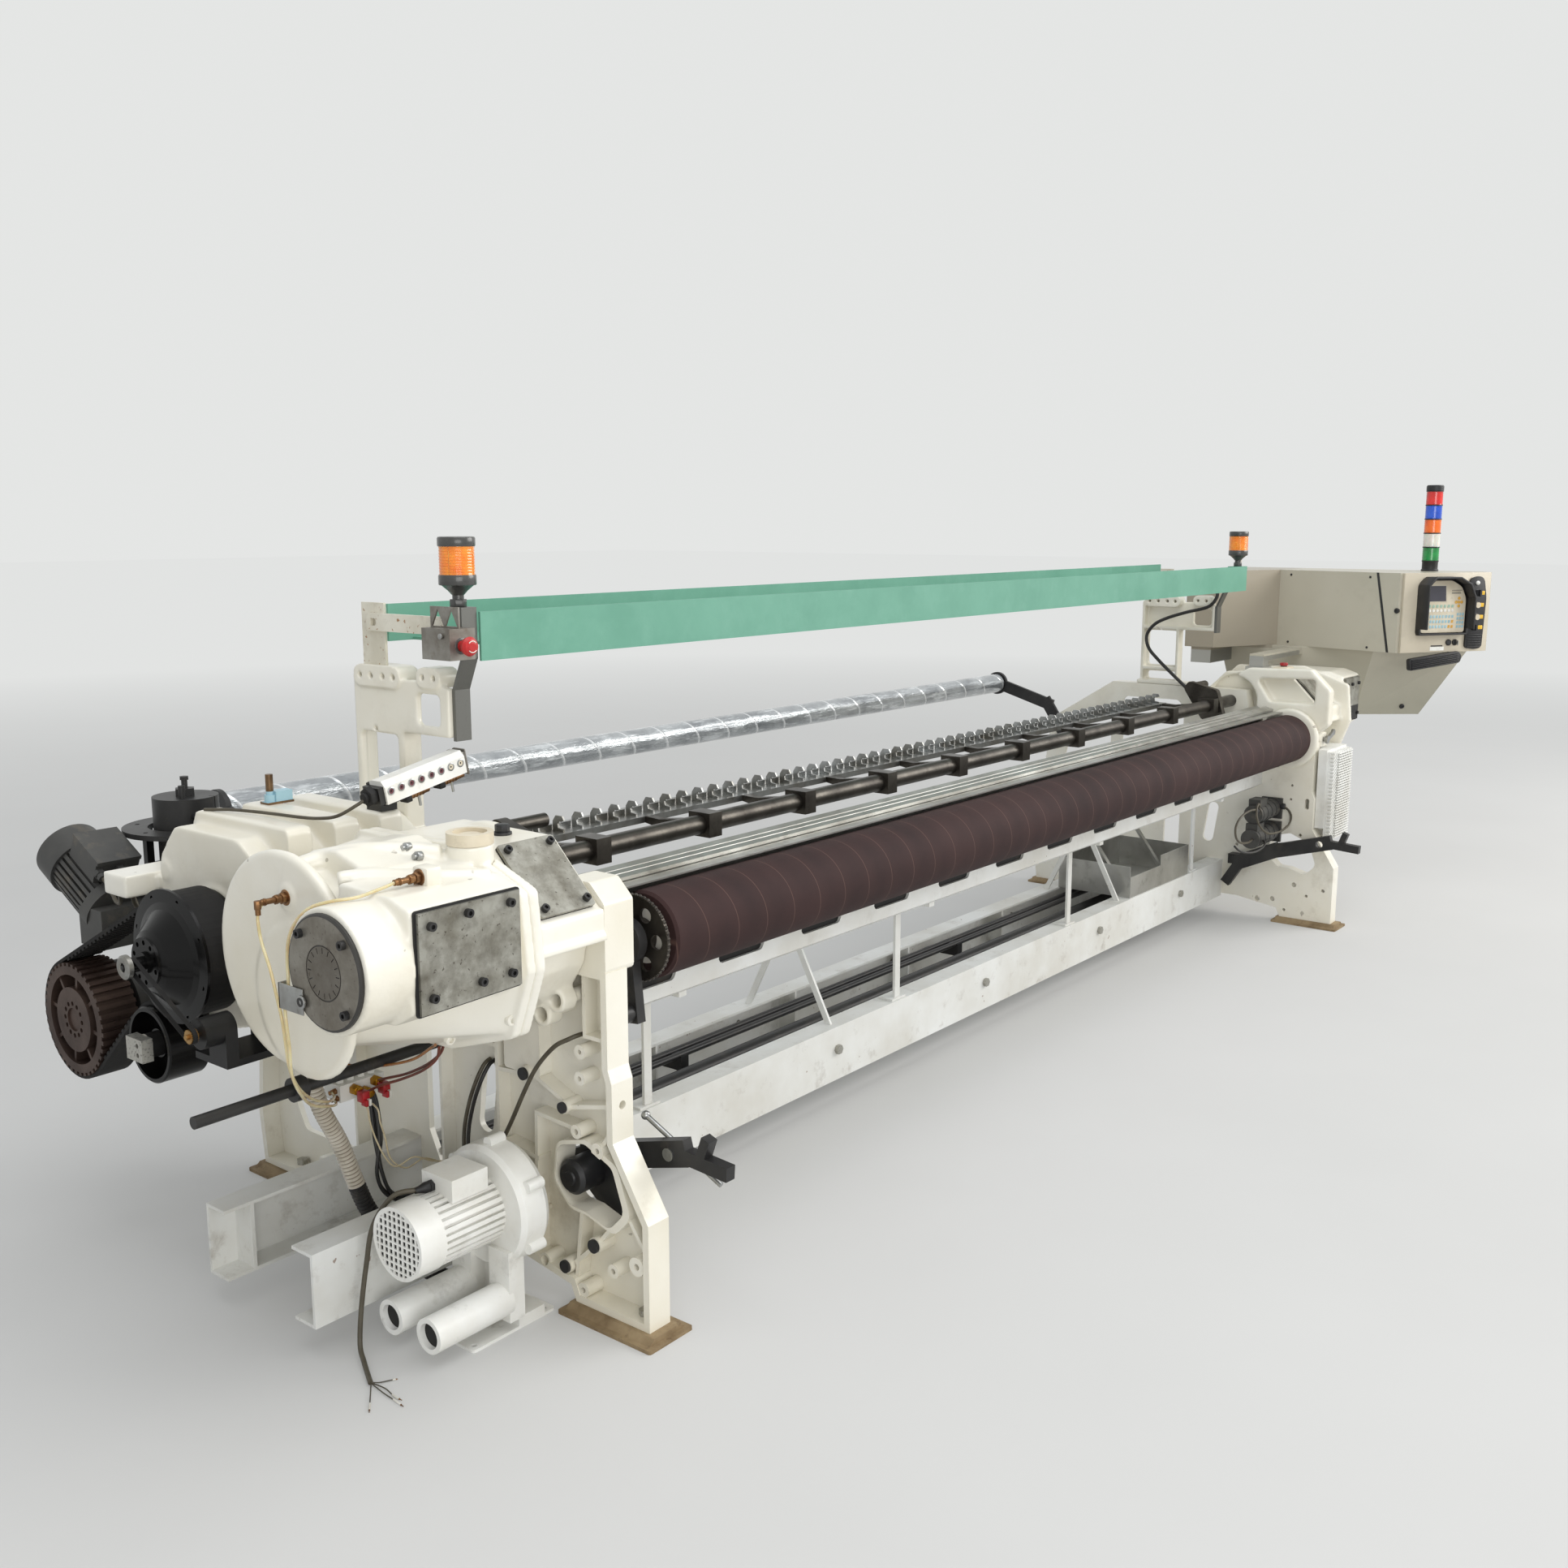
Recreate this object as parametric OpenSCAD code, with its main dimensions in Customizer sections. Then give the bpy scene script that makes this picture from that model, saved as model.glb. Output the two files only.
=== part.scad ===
// Power loom: weaving end with gear cases, belt drive, take-up roller, sley, control cabinet and suction blower.
// X runs along the loom to the right, Y from the weaver to the back, Z up from the floor.

/* [Side frames] */
// Distance between the outer faces of the two side frames
span = 4040; // [3400:10:4600]
// Outer face of the left side frame
frame_x = -2155; // [-2200:1:-2100]
// Width of the side frame's rim
frame_d = 60; // [50:1:80]
// Thickness of the side frame's web
web_t = 14; // [10:1:20]
// Thickness of the side frame's rim
rim_t = 16; // [12:1:24]
// Height of the side frame's front top above the floor
frame_h = 747; // [720:1:760]
// Height of the side frame's middle above the floor
deck_h = 940; // [930:1:960]
// Thickness of the foot pads
pad_t = 20; // [12:1:30]

/* [Base rails] */
// Height of a channel rail
chan_h = 155; // [140:1:165]
// Width of a channel rail's flanges
chan_w = 67; // [55:1:75]
// Thickness of a channel rail
chan_t = 7; // [5:1:10]
// Underside of the channel rails above the floor
chan_z = 70; // [60:1:80]
// Front face of the front channel rail
front_chan_y = -200; // [-220:1:-190]
// Back face of the rear channel rail
rear_chan_y = 170; // [160:1:190]
// Length of the rails that stands out at the left
chan_out = 455; // [300:5:500]

/* [Take-up roller] */
// Radius of the take-up roller
roller_r = 95; // [80:1:96]
// Depth of the take-up roller's axis
roller_y = -454; // [-460:1:-450]
// Height of the take-up roller's axis above the side frame's front top
roller_up = 14; // [8:1:23]
// Number of teeth on the take-up sprocket
sprocket_n = 48; // [36:1:60]
// Number of long holes in the cross beam
slot_n = 11; // [6:1:12]

/* [Sley and back rest] */
// Radius of the sley shaft
sley_r = 24; // [18:1:28]
// Depth of the sley shaft's axis
sley_y = -200; // [-205:1:-195]
// Depth of the sley shaft's axis below the side frame's middle top
sley_down = 46; // [40:1:50]
// Number of guide hooks on the sley beam
hook_n = 56; // [20:1:60]
// Radius of the back-rest tube
rest_r = 42; // [35:1:48]
// Depth of the back-rest tube's axis
rest_y = 900; // [890:1:906]
// Height of the back-rest tube's axis
rest_z = 895; // [885:1:905]

/* [Drive] */
// Radius of the motor pulley
pulley_r = 126; // [115:1:130]
// Width of the drive belt
belt_w = 75; // [60:1:76]
// Thickness of the drive belt
belt_t = 7; // [5:1:8]
// Number of teeth on the motor pulley
pulley_n = 40; // [30:1:48]
// Radius of the brake drum's toothed track
drum_r = 120; // [100:1:122]
// Radius of the brake drum's flange
drum_flange_r = 136; // [134:1:142]
// Radius of the idler roller
idler_r = 80; // [70:1:82]
// Depth of the brake drum's axis
drum_y = 144; // [142:1:150]
// Height of the brake drum's axis
drum_z = 772; // [768:1:780]
// Depth of the motor pulley's axis
pulley_y = 572; // [560:1:580]
// Height of the motor pulley's axis
pulley_z = 551; // [545:1:560]
// Depth of the idler's axis
idler_y = 236; // [232:1:240]
// Height of the idler's axis
idler_z = 570; // [565:1:572]
// Left face of the motor pulley
drive_x = -2660; // [-2662:1:-2655]

/* [Gear cases] */
// Length of a gear case between side frame and joint flange
case_l = 222; // [200:1:240]
// Radius of the disc flange on the left cover
disc_r = 202; // [195:1:206]
// Depth of the disc flange's centre
disc_y = -240; // [-244:1:-236]
// Height of the disc flange's centre
disc_z = 835; // [830:1:840]
// Radius of the barrel
barrel_r = 110; // [100:1:115]
// Depth of the barrel's axis
barrel_y = -510; // [-515:1:-500]
// Height of the barrel's axis
barrel_z = 884; // [880:1:890]
// Thickness of the inspection plates
plate_t = 6; // [4:1:10]

/* [Top and cabinet] */
// Height of the top beam
beam_h = 102; // [90:1:110]
// Thickness of the top beam's plates
beam_t = 6; // [4:1:8]
// Underside of the top beam above the floor
beam_z = 1334; // [1325:1:1340]
// Front face of the top beam
beam_y = -156; // [-160:1:-152]
// Underside of the cabinet's body above the floor
cab_z = 1080; // [1060:1:1090]
// Height of the cabinet's body
cab_h = 330; // [280:5:360]
// Distance from the right side frame to the cabinet's right side
cab_out = 920; // [895:1:945]
// Number of plates in the cabinet's heat sink
sink_n = 30; // [10:1:36]

/* [Hidden] */

// Clearance between a turning piece and its seat
fit = 0.05;
// Gap between pieces that only pass each other
gap = 0.4;
right_x = frame_x + span;
inner_l = frame_x + frame_d;
inner_r = right_x - frame_d;
mid_x = (frame_x + right_x) / 2;
flange_x = frame_x - case_l;
chan_top = chan_z + chan_h;
roller_z = frame_h + roller_up;
sley_z = deck_h - sley_down;
$fn = 48;

// Vector helpers for outlines
function unit(v) = v / norm(v);
function polar(c, r, a) = c + r * [cos(a), sin(a)];

// Points of a round corner at p1 with radius r
function corner(p0, p1, p2, r, n) =
    let (u = unit(p0 - p1), v = unit(p2 - p1), half = acos(u * v) / 2, c = p1 + unit(u + v) * r / sin(half),
        a = p1 + u * r / tan(half) - c, b = p1 + v * r / tan(half) - c, a0 = atan2(a[1], a[0]),
        turn = atan2(b[1], b[0]) - a0, sweep = turn > 180 ? turn - 360 : turn < -180 ? turn + 360 : turn)
    [for (i = [0:n]) polar(c, r, a0 + sweep * i / n)];
function rounded(pts, r, n = 3) =
    let (k = len(pts)) [for (i = [0:k - 1]) each corner(pts[(i + k - 1) % k], pts[i], pts[(i + 1) % k], r, n)];

// Outline moved inwards by d; the points run counter-clockwise
function edge_normal(a, b) = let (e = unit(b - a)) [-e[1], e[0]];
function inset(pts, d) =
    let (k = len(pts))
    [for (i = [0:k - 1])
        let (n0 = edge_normal(pts[(i + k - 1) % k], pts[i]), n1 = edge_normal(pts[i], pts[(i + 1) % k]))
        pts[i] + d * (n0 + n1) / (1 + n0 * n1)];

// A drawing in Y and Z carried along X
module along_x(x, l) translate([x, 0, 0]) rotate([90, 0, 90]) linear_extrude(l) children();
// A drawing in X and Z carried along Y
module along_y(y, l) translate([0, y + l, 0]) rotate([90, 0, 0]) linear_extrude(l) children();
module rod_x(x, y, z, r, l) translate([x, y, z]) rotate([0, 90, 0]) cylinder(h = l, r = r);
module rod_y(x, y, z, r, l) translate([x, y, z]) rotate([-90, 0, 0]) cylinder(h = l, r = r);
module rod_z(x, y, z, r, l) translate([x, y, z]) cylinder(h = l, r = r);
module rounded_box(size, r) linear_extrude(size[2])
    polygon(rounded([[0, 0], [size[0], 0], [size[0], size[1]], [0, size[1]]], r));
// A straight bar of width w between two points of a drawing
module bar(a, b, w) translate(a) rotate(atan2(b[1] - a[1], b[0] - a[0]))
    translate([-w / 2, -w / 2]) square([norm(b - a) + w, w]);
// A revolved piece along X from points of radius and length
module turned_x(x, y, z, pts) translate([x, y, z]) rotate([0, 90, 0]) rotate_extrude() polygon(pts);
// Copies the children to the other end of the loom
module mirrored() translate([2 * mid_x, 0, 0]) mirror([1, 0, 0]) children();
module mirror_if(s) if (s == 1) mirrored() children();
    else children();
// Hexagon-socket screw head pointing along its own Z
module screw_head(r) difference() {
    cylinder(h = r * 1.1, r = r, $fn = 24);
    translate([0, 0, r * 0.5]) cylinder(h = r, r = r * 0.55, $fn = 6);
}

// Side frame outline, counter-clockwise seen from the right
frame_pts = [[-660, pad_t], [-451, pad_t], [-436, 54], [-267, 80], [430, 80], [452, pad_t], [676, pad_t],
    [690, 150], [655, 500], [620, deck_h - 180], [330, deck_h], [-262, deck_h], [-300, frame_h], [-556, frame_h],
    [-556, 548], [-566, 520], [-566, 396], [-660, 248]];
hub_c = [-430, 283];
drop_pts = [[-556, 340], [-478, 372], [-400, 350], [-388, 270], [-432, 226], [-478, 224], [-545, 205],
    [-588, 250]];
// Lifting bar's axis and radius
bar_y = -150;
bar_z = 545;
bar_r = 12;
bar_out = 650;
// Bosses: depth, height, outer radius, hole radius, whether a plug fills the hole
bosses = [[-453, 682, 15, 9, true], [-411, 645, 13, 9, true], [-307, 484, 16, 10, true],
    [-423, 438, 14, 9, true], [-506, 160, 17, 10, true], [-420, 88, 16, 10, true],
    [-475, 568, 15, 5, false], [-473, 511, 15, 5, false], [-459, 394, 15, 6, false],
    [-519, 368, 17, 6, false], [-258, 297, 15, 6, false], [-356, 81, 16, 11, false],
    [-558, 120, 15, 6, false], [-624, 151, 20, 7, false], [-470, 50, 16, 6, false], [80, 560, 20, 8, false],
    [300, 300, 20, 8, false], [560, 240, 20, 8, false], [520, 620, 20, 8, false],
    [sley_y, sley_z, 38, sley_r + fit, false], [bar_y, bar_z, 34, bar_r + fit, false]];
// Ribs of the side frame as pairs of points
ribs = [[[-566, 470], [-433, 438]], [[-433, 438], [-330, 480]], [[-330, 480], [-210, 470]],
    [[-556, 600], [-480, 600]], [[-480, 600], [-480, frame_h]], [[-330, 610], [-300, frame_h]],
    [[-330, 484], [-330, 610]], [[-450, 394], [-330, 400]], [[-330, 400], [-320, 80]], [[-330, 300], [-230, 310]],
    [[-330, 180], [-260, 175]], [[-460, 215], [-440, 60]], [[-641, 151], [-641, 20]], [[-210, 700], [-210, 80]],
    [[-210, 520], [660, 520]], [[300, 80], [300, deck_h]], [[-20, 80], [-20, deck_h]], [[-330, 610], [-210, 700]],
    [[-588, 250], [-640, 180]], [[-519, 368], [-566, 440]], [[-540, 200], [-506, 160]], [[-506, 160], [-440, 100]]];

// A long hole from two circles and a square, so that it stays exact
module long_hole(y, z, w, h) {
    translate([y, z + (h - w) / 2]) circle(w / 2, $fn = 24);
    translate([y, z - (h - w) / 2]) circle(w / 2, $fn = 24);
    translate([y - w / 2, z - (h - w) / 2]) square([w, h - w]);
}

module frame_windows() {
    polygon(rounded(drop_pts, 26));
    rotate(8) long_hole(-85, 395, 46, 170);
    polygon(rounded([[0, 560], [280, 560], [280, deck_h - 60], [30, deck_h - 60], [0, deck_h - 90]], 24));
    polygon(rounded([[330, 560], [560, 560], [520, deck_h - 200], [330, deck_h - 80]], 24));
    polygon(rounded([[0, 110], [70, 250], [70, 480], [0, 480]], 6));
    polygon(rounded([[330, 120], [560, 120], [600, 200], [580, 480], [330, 480]], 24));
}

module side_frame_body() difference() {
    union() {
        along_x(frame_d - web_t, web_t) polygon(frame_pts);
        along_x(0, frame_d) difference() {
            polygon(frame_pts);
            polygon(inset(frame_pts, rim_t));
        }
        along_x(12, frame_d - 12) intersection() {
            polygon(frame_pts);
            union() {
                for (r = ribs) bar(r[0], r[1], 9);
                polygon(rounded([[-345, 480], [-235, 480], [-235, 600], [-345, 600]], 8));
            }
        }
        along_x(20, frame_d - 20) polygon(rounded(inset(drop_pts, -0.1), 26));
        along_x(6, frame_d - 6) difference() {
            polygon(rounded([for (p = drop_pts) hub_c + (p - hub_c) * 1.12], 30));
            polygon(rounded(drop_pts, 26));
        }
        for (b = bosses) rod_x(2, b[0], b[1], b[2], frame_d - 2);
    }
    along_x(-1, frame_d + 2) frame_windows();
    for (b = bosses) rod_x(-1, b[0], b[1], b[3], frame_d + 2);
    along_x(-1, frame_d + 2) long_hole(-539, 498, 16, 44);
    rod_y(frame_d / 2, -600, 470, 9, 60);
    for (y = [-620, 560]) rod_z(frame_d / 2, y, pad_t - 1, 9, 60);
    // Notches that let the base rails pass
    translate([-1, front_chan_y - gap, 0]) cube([frame_d + 2, chan_w + 2 * gap, chan_top + gap]);
    translate([-1, rear_chan_y - chan_w - gap, 0]) cube([frame_d + 2, chan_w + 2 * gap, chan_top + gap]);
}

module left_side_frame() color("ivory") {
    translate([frame_x, 0, 0]) side_frame_body();
    // Bracket on the front top that holds the rail ends
    along_x(frame_x, 80) difference() {
        polygon(rounded([[-556, frame_h - 6], [-440, frame_h - 6], [-440, 925], [-516, 925], [-556, 886]], 12));
        translate([-470, 880]) circle(9);
    }
}
module right_side_frame() color("ivory") difference() {
    mirrored() translate([frame_x, 0, 0]) side_frame_body();
    rod_x(inner_r - 1, roller_y, roller_z, 30 + fit, frame_d + 2);
}

module foot_pad(y0, y1) difference() {
    translate([frame_x - 22, y0, 0]) union() {
        linear_extrude(8) polygon(rounded([[-12, -12], [frame_d + 56, -12], [frame_d + 56, y1 - y0 + 12],
            [-12, y1 - y0 + 12]], 6));
        along_y(0, y1 - y0) polygon([[0, 8], [frame_d + 44, 8], [frame_d + 30, pad_t], [14, pad_t]]);
    }
    rod_z(frame_x + frame_d / 2, (y0 < 0) ? -620 : 560, -1, 9, pad_t + 2);
}
module foot_pads() color("darkkhaki") {
    foot_pad(-680, -440);
    foot_pad(440, 690);
    mirrored() foot_pad(-680, -440);
    mirrored() foot_pad(440, 690);
}

module frame_plugs() color("black") {
    for (b = bosses) if (b[4]) {
        rod_x(frame_x - 4, b[0], b[1], b[2] * 0.85, 6);
        rod_x(frame_x + 2, b[0], b[1], b[3] - fit, 30);
    }
    // Hub of the cloth roller drive in the drop-shaped window
    turned_x(frame_x + 6, hub_c[0], hub_c[1], [[0, 0], [14, 0], [16, 4], [30, 4], [38, 12], [38, 70], [30, 96],
        [0, 96]]);
    along_x(frame_x + 76, 18) difference() {
        polygon(rounded([[-392, 372], [-392, 250], [-470, 190], [-560, 190], [-596, 236], [-560, 290],
            [-480, 372]], 16));
        translate(hub_c) circle(30.1);
    }
}

// Channel rail; dir is +1 when the flanges point to the back
module channel(y, dir) {
    x0 = frame_x - chan_out;
    l = inner_r - 10 - x0;
    translate([x0, y, chan_z]) {
        translate([0, dir > 0 ? 0 : -chan_t, 0]) cube([l, chan_t, chan_h]);
        for (z = [0, chan_h - chan_t]) translate([0, dir > 0 ? 0 : -chan_w, z]) cube([l, chan_w, chan_t]);
        // Stiffening ribs inside the channel
        for (i = [0:7]) translate([60 + i * (l - 120) / 7, dir > 0 ? 0 : -chan_w, 0])
            cube([8, chan_w, chan_h]);
    }
    translate([inner_r - 10, dir > 0 ? y : y - chan_w, chan_z]) cube([10, chan_w, chan_h]);
}
bolt_x = [-1760, -900, -100, 700, 1400];
module bolt_holes(y) for (x = bolt_x) rod_y(x, y, chan_z + 90, 9, chan_t + 2);
module front_channel() color("whitesmoke") difference() {
    channel(front_chan_y, 1);
    bolt_holes(front_chan_y - 1);
}
module rear_channel() color("whitesmoke") difference() {
    channel(rear_chan_y, -1);
    bolt_holes(rear_chan_y - chan_t - 1);
}

module hex_bolt(r, shank) {
    cylinder(h = r * 0.8, r = r, $fn = 6);
    translate([0, 0, -shank]) cylinder(h = shank, r = r * 0.5, $fn = 24);
}
module base_bolts() {
    for (x = bolt_x) {
        translate([x, front_chan_y, chan_z + 90]) rotate([90, 0, 0]) hex_bolt(14, 30);
        translate([x, rear_chan_y, chan_z + 90]) rotate([-90, 0, 0]) hex_bolt(14, 30);
    }
    for (s = [0, 1]) for (y = [-620, 560])
        translate([s == 0 ? frame_x + frame_d / 2 : right_x - frame_d / 2, y, pad_t + 16]) {
            cylinder(h = 12, r = 14, $fn = 6);
            translate([0, 0, -30]) cylinder(h = 32, r = 8, $fn = 24);
        }
}

// Air pipe and tie rods that lie between the base rails
tube_y = -20;
module base_tubes() color([0.12, 0.12, 0.13]) {
    rod_x(inner_l, tube_y, 165, 24, inner_r - inner_l);
    for (y = [40, 74]) rod_x(inner_l, y, 200, 9, inner_r - inner_l);
    for (x = [-1300, 100, 1250]) translate([x, front_chan_y + chan_t + 0.05, 158])
        cube([30, rear_chan_y - front_chan_y - 2 * chan_t - 0.1, 6]);
    for (x = [-1300, 100, 1250]) translate([x, 28, 164]) cube([30, 58, 36]);
}

// Slotted cross beam: upright wall with long slanted holes, a crease and a lower lip
beam_top = 690;
beam_y0 = -350;
module cross_beam() color("beige") difference() {
    along_x(inner_l, inner_r - inner_l) polygon([[beam_y0, 562], [beam_y0 + 40, 540], [beam_y0 + 74, 540],
        [beam_y0 + 74, 548], [beam_y0 + 42, 548], [beam_y0 + 8, 567], [beam_y0 + 8, beam_top - 8],
        [beam_y0 + 74, beam_top - 8], [beam_y0 + 74, beam_top], [beam_y0, beam_top]]);
    for (i = [0:slot_n - 1]) translate([inner_l + 190 + i * 3500 / slot_n, 0, 0]) along_y(beam_y0 - 1, 12)
        polygon(rounded([[0, 594], [170, 594], [192, 640], [22, 640]], 14));
}

module beam_stands() color("white") {
    a = front_chan_y + 12;
    b = beam_y0 + 46;
    for (x = [-1690, -620, 450, 1500]) {
        translate([x, front_chan_y + 6, chan_top + 0.05]) cube([70, 50, 6]);
        along_x(x + 22, 26) polygon([[a, chan_top + 3], [a + 8, chan_top + 3], [a + 8, 533], [b + 8, 533],
            [b + 8, 540 - 0.05], [b, 540 - 0.05], [b, 525], [a, 525]]);
    }
    // Flat V-shaped stand on both rails
    for (x = [-900, 900]) along_x(x, 8) polygon([[front_chan_y + 24, chan_top + 0.05],
        [front_chan_y + 44, chan_top + 0.05], [-14, 496], [rear_chan_y - 52, chan_top + 0.05],
        [rear_chan_y - 32, chan_top + 0.05], [-6, 520], [-22, 520]]);
}

// Sheet-metal tray of spot-welded plates that stands on the base rails at the right
tray_x = right_x - 925;
tray_l = 520;
tray_w = 300;
module cloth_tray() color("gainsboro") {
    z = chan_top + 3 + fit;
    translate([tray_x, front_chan_y + 6, chan_top]) cube([tray_l, tray_w, 3]);
    translate([0, front_chan_y + 6, z]) {
        for (x = [tray_x, tray_x + tray_l - 3]) translate([x, 3 + fit, 0]) cube([3, tray_w - 6 - 2 * fit, 117]);
        translate([tray_x, tray_w - 3, 0]) cube([tray_l, 3, 117]);
        translate([tray_x, 0, 0]) cube([260, 3, 77]);
        translate([tray_x + 260, 0, 0]) cube([tray_l - 260, 3, 117]);
    }
    for (x = [tray_x + 60, tray_x + 420]) along_x(x, 20) polygon([[front_chan_y + 55, z],
        [front_chan_y + 67, z], [46, 470], [34, 470]]);
}

// Joint flange outline of the gear cases in depth and height
flange_pts = [[-250, 1020], [-400, 1030], [-480, 1004], [-590, 962], [-606, 815], [-575, 730], [-556, 680],
    [-380, 622], [-200, 612], [-60, 700], [-60, 960], [-120, 1020]];
case_pts = [[-420, 1008], [-545, 882], [-560, 880], [-560, 830], [-510, 806], [-500, 760], [-460, 700],
    [-380, 640], [-200, 630], [-80, 720], [-80, 940], [-150, 1008]];
plate_a = [-420, 1008];
plate_b = [-545, 882];
module gear_case_body() difference() {
    union() {
        along_x(flange_x, 24) polygon(rounded(flange_pts, 16));
        along_x(flange_x, case_l) polygon(rounded(case_pts, 8));
        // Mounting ears against the side frame
        for (p = [[-453, 682], [-411, 645], [-150, 640]]) rod_x(frame_x - 40, p[0], p[1], 26, 40);
        along_x(flange_x + 24, case_l - 24) bar([-560, 824], [-480, 812], 14);
        rod_x(frame_x - 30, disc_y, disc_z, 180, 30);
    }
    // Seats of the plugged screws
    for (p = [[-453, 682], [-411, 645]]) rod_x(frame_x - 41, p[0], p[1], 15, 42);
}

module left_gear_case() color("ivory") difference() {
    gear_case_body();
    rod_z(neck[0], neck[1], 900, 44 + gap, 200);
}

// Oil neck on the crown of the cover
neck = [-2388, -445];
cover_l = 285;
cover_x = flange_x - cover_l;
front_y = -612;
module left_gear_cover() color("ivory") difference() {
    union() {
        // Flange against the gear case
        along_x(flange_x - 22, 22 - 0.05) polygon(rounded(flange_pts, 16));
        // Domed body between disc and flange
        hull() {
            rod_x(cover_x + 20, disc_y, disc_z, 168, 4);
            along_x(flange_x - 24, 3) polygon(rounded(inset(flange_pts, 14), 20));
        }
        turned_x(cover_x, disc_y, disc_z, [[0, 0], [disc_r - 6, 0], [disc_r, 5], [disc_r, 20], [disc_r - 18, 24],
            [0, 24]]);
        // Barrel under the round plate
        rod_x(cover_x - 90, barrel_y, barrel_z, barrel_r, 96);
        // Box behind the inspection plate
        along_x(cover_x, 244) polygon(rounded([[front_y, 806], [front_y, 984], [-560, 1000],
            [-420, 1006], [-400, 790], [-560, 776]], 8));
        // Housing on the crown
        along_x(cover_x + 60, 190) polygon(rounded([[-440, 900], [-430, 1012], [-330, 1040], [-250, 1030],
            [-220, 900]], 14));
        rod_z(neck[0], neck[1], 990, 44, 44);
    }
    rod_x(cover_x - 91, barrel_y, barrel_z, 60, 24);
    rod_z(neck[0], neck[1], 1000, 30, 50);
}

cover_bolt_r = 84;
module round_plate() difference() {
    turned_x(cover_x - 98, barrel_y, barrel_z, [[0, 0], [barrel_r - 12, 0], [barrel_r - 9, 3],
        [barrel_r - 9, 8 - 0.05], [60 - fit, 8 - 0.05], [60 - fit, 14], [0, 14]]);
    // Graduated ring: one groove round the middle and sixteen ticks
    translate([cover_x - 98.01, barrel_y, barrel_z]) rotate([0, 90, 0]) rotate_extrude()
        translate([46, 0]) square([2, 1]);
    for (i = [0:15]) translate([cover_x - 98.01, barrel_y, barrel_z]) rotate([i * 360 / 16, 0, 0])
        translate([0, -1, 34]) cube([1, 2, 10]);
    for (a = [45:90:315]) rod_x(cover_x - 99, barrel_y + cover_bolt_r * cos(a), barrel_z + cover_bolt_r * sin(a),
        4.2, 12);
}

plate_w = 222;
plate_x = cover_x + 12;
module side_plate(x, y, w) {
    along_y(y - 4, 4 - 0.02) polygon(rounded([[x - 5, 799], [x + w + 5, 803], [x + w + 5, 984], [x - 5, 984]], 6));
    along_y(y - 4 - plate_t, plate_t - 0.02) polygon([[x, 803], [x + w, 807], [x + w, 980], [x, 980]]);
}
module cover_plates() color("darkgray") {
    round_plate();
    side_plate(plate_x, front_y - 0.05, plate_w);
    slanted_on_case();
    mirrored() slanted_on_case();
    mirrored() side_plate(flange_x - 180, right_plate_y - 0.05, 172);
}
right_plate_y = -560;
slant_c = (plate_a + plate_b) / 2;
module slanted_on_case() translate([flange_x + 66, slant_c[0], slant_c[1]]) rotate([45, 0, 0])
    translate([0, -86, 0.7]) rounded_box([140, 172, plate_t + 4], 5);

module screws() color([0.1, 0.1, 0.1]) {
    base_bolts();
    for (p = [[24, 955], [104, 962], [198, 962], [24, 830], [130, 834], [198, 834]])
        translate([plate_x + p[0], front_y - 4 - plate_t - 0.05, p[1]]) rotate([90, 0, 0]) screw_head(8);
    for (s = [0, 1]) for (u = [16, 124], v = [-70, 70]) screws_on_slant(s, u, v);
    for (a = [45:90:315]) translate([cover_x - 98 - 0.05, barrel_y + cover_bolt_r * cos(a),
        barrel_z + cover_bolt_r * sin(a)]) rotate([0, -90, 0]) screw_head(8);
    for (u = [16, 96, 156], v = [830, 955])
        mirrored() translate([flange_x - 180 + u, right_plate_y - 4 - plate_t - 0.05, v]) rotate([90, 0, 0])
            screw_head(7);
}
module screws_on_slant(s, u, v) translate([s == 0 ? flange_x + 66 + u : 2 * mid_x - flange_x - 66 - u, slant_c[0],
    slant_c[1]]) rotate([45, 0, 0]) translate([0, v, 0.7 + plate_t + 4.05]) screw_head(8);

module oil_cap() color("beige") {
    translate([neck[0], neck[1], 1034.05]) difference() {
        cylinder(h = 22, r = 44);
        translate([0, 0, 14]) cylinder(h = 10, r = 32);
    }
    rod_z(neck[0], neck[1], 1040, 18, 12);
    rod_z(neck[0], neck[1], 1010, 30 - fit, 30);
}

// Rear gear case: rounded casting that carries the brake drum
rear_case_x = -2556;
module rear_gear_case() color("ivory") difference() {
    union() {
        along_x(rear_case_x, frame_x - rear_case_x) polygon(rounded([[-34, 640], [110, 600], [330, 620], [352, 760],
            [352, 930], [290, 1000], [60, 1000], [-34, 940]], 26));
        rod_x(rear_case_x - 6, drum_y, drum_z, 118, 10);
        // Junction box behind the drum and its bracket
        translate([-2622, 380, 842]) cube([180, 90, 48]);
        translate([-2550, 345, 852]) cube([90, 36, 28]);
        for (x = [-2500, -2390, -2280]) along_x(x, 60) polygon(rounded([[-30, 930], [330, 960], [300, 1024],
            [-30, 1024]], 14));
        for (p = [[-10, 700], [-10, 900], [330, 700], [330, 900]]) rod_x(rear_case_x - 4, p[0], p[1], 20, 30);
    }
    rod_x(rear_case_x - 8, drum_y, drum_z, 30, 110);
}

// Belt loop: outer tangents round motor pulley and drum, the idler pressing from outside
pc = [pulley_y, pulley_z];
dc = [drum_y, drum_z];
ic = [idler_y, idler_z];
function heading(a, b) = atan2(b[1] - a[1], b[0] - a[0]);
function arc(c, r, a0, a1, n) = [for (i = [0:n]) polar(c, r, a0 + (a1 - a0) * i / n)];
// Touching angle of the outer tangent from a to b, and half angle of the crossing tangent
function outer_at(a, ra, b, rb) = heading(a, b) - acos((ra - rb) / norm(b - a));
function cross_at(a, ra, b, rb) = acos((ra + rb) / norm(b - a));
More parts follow.
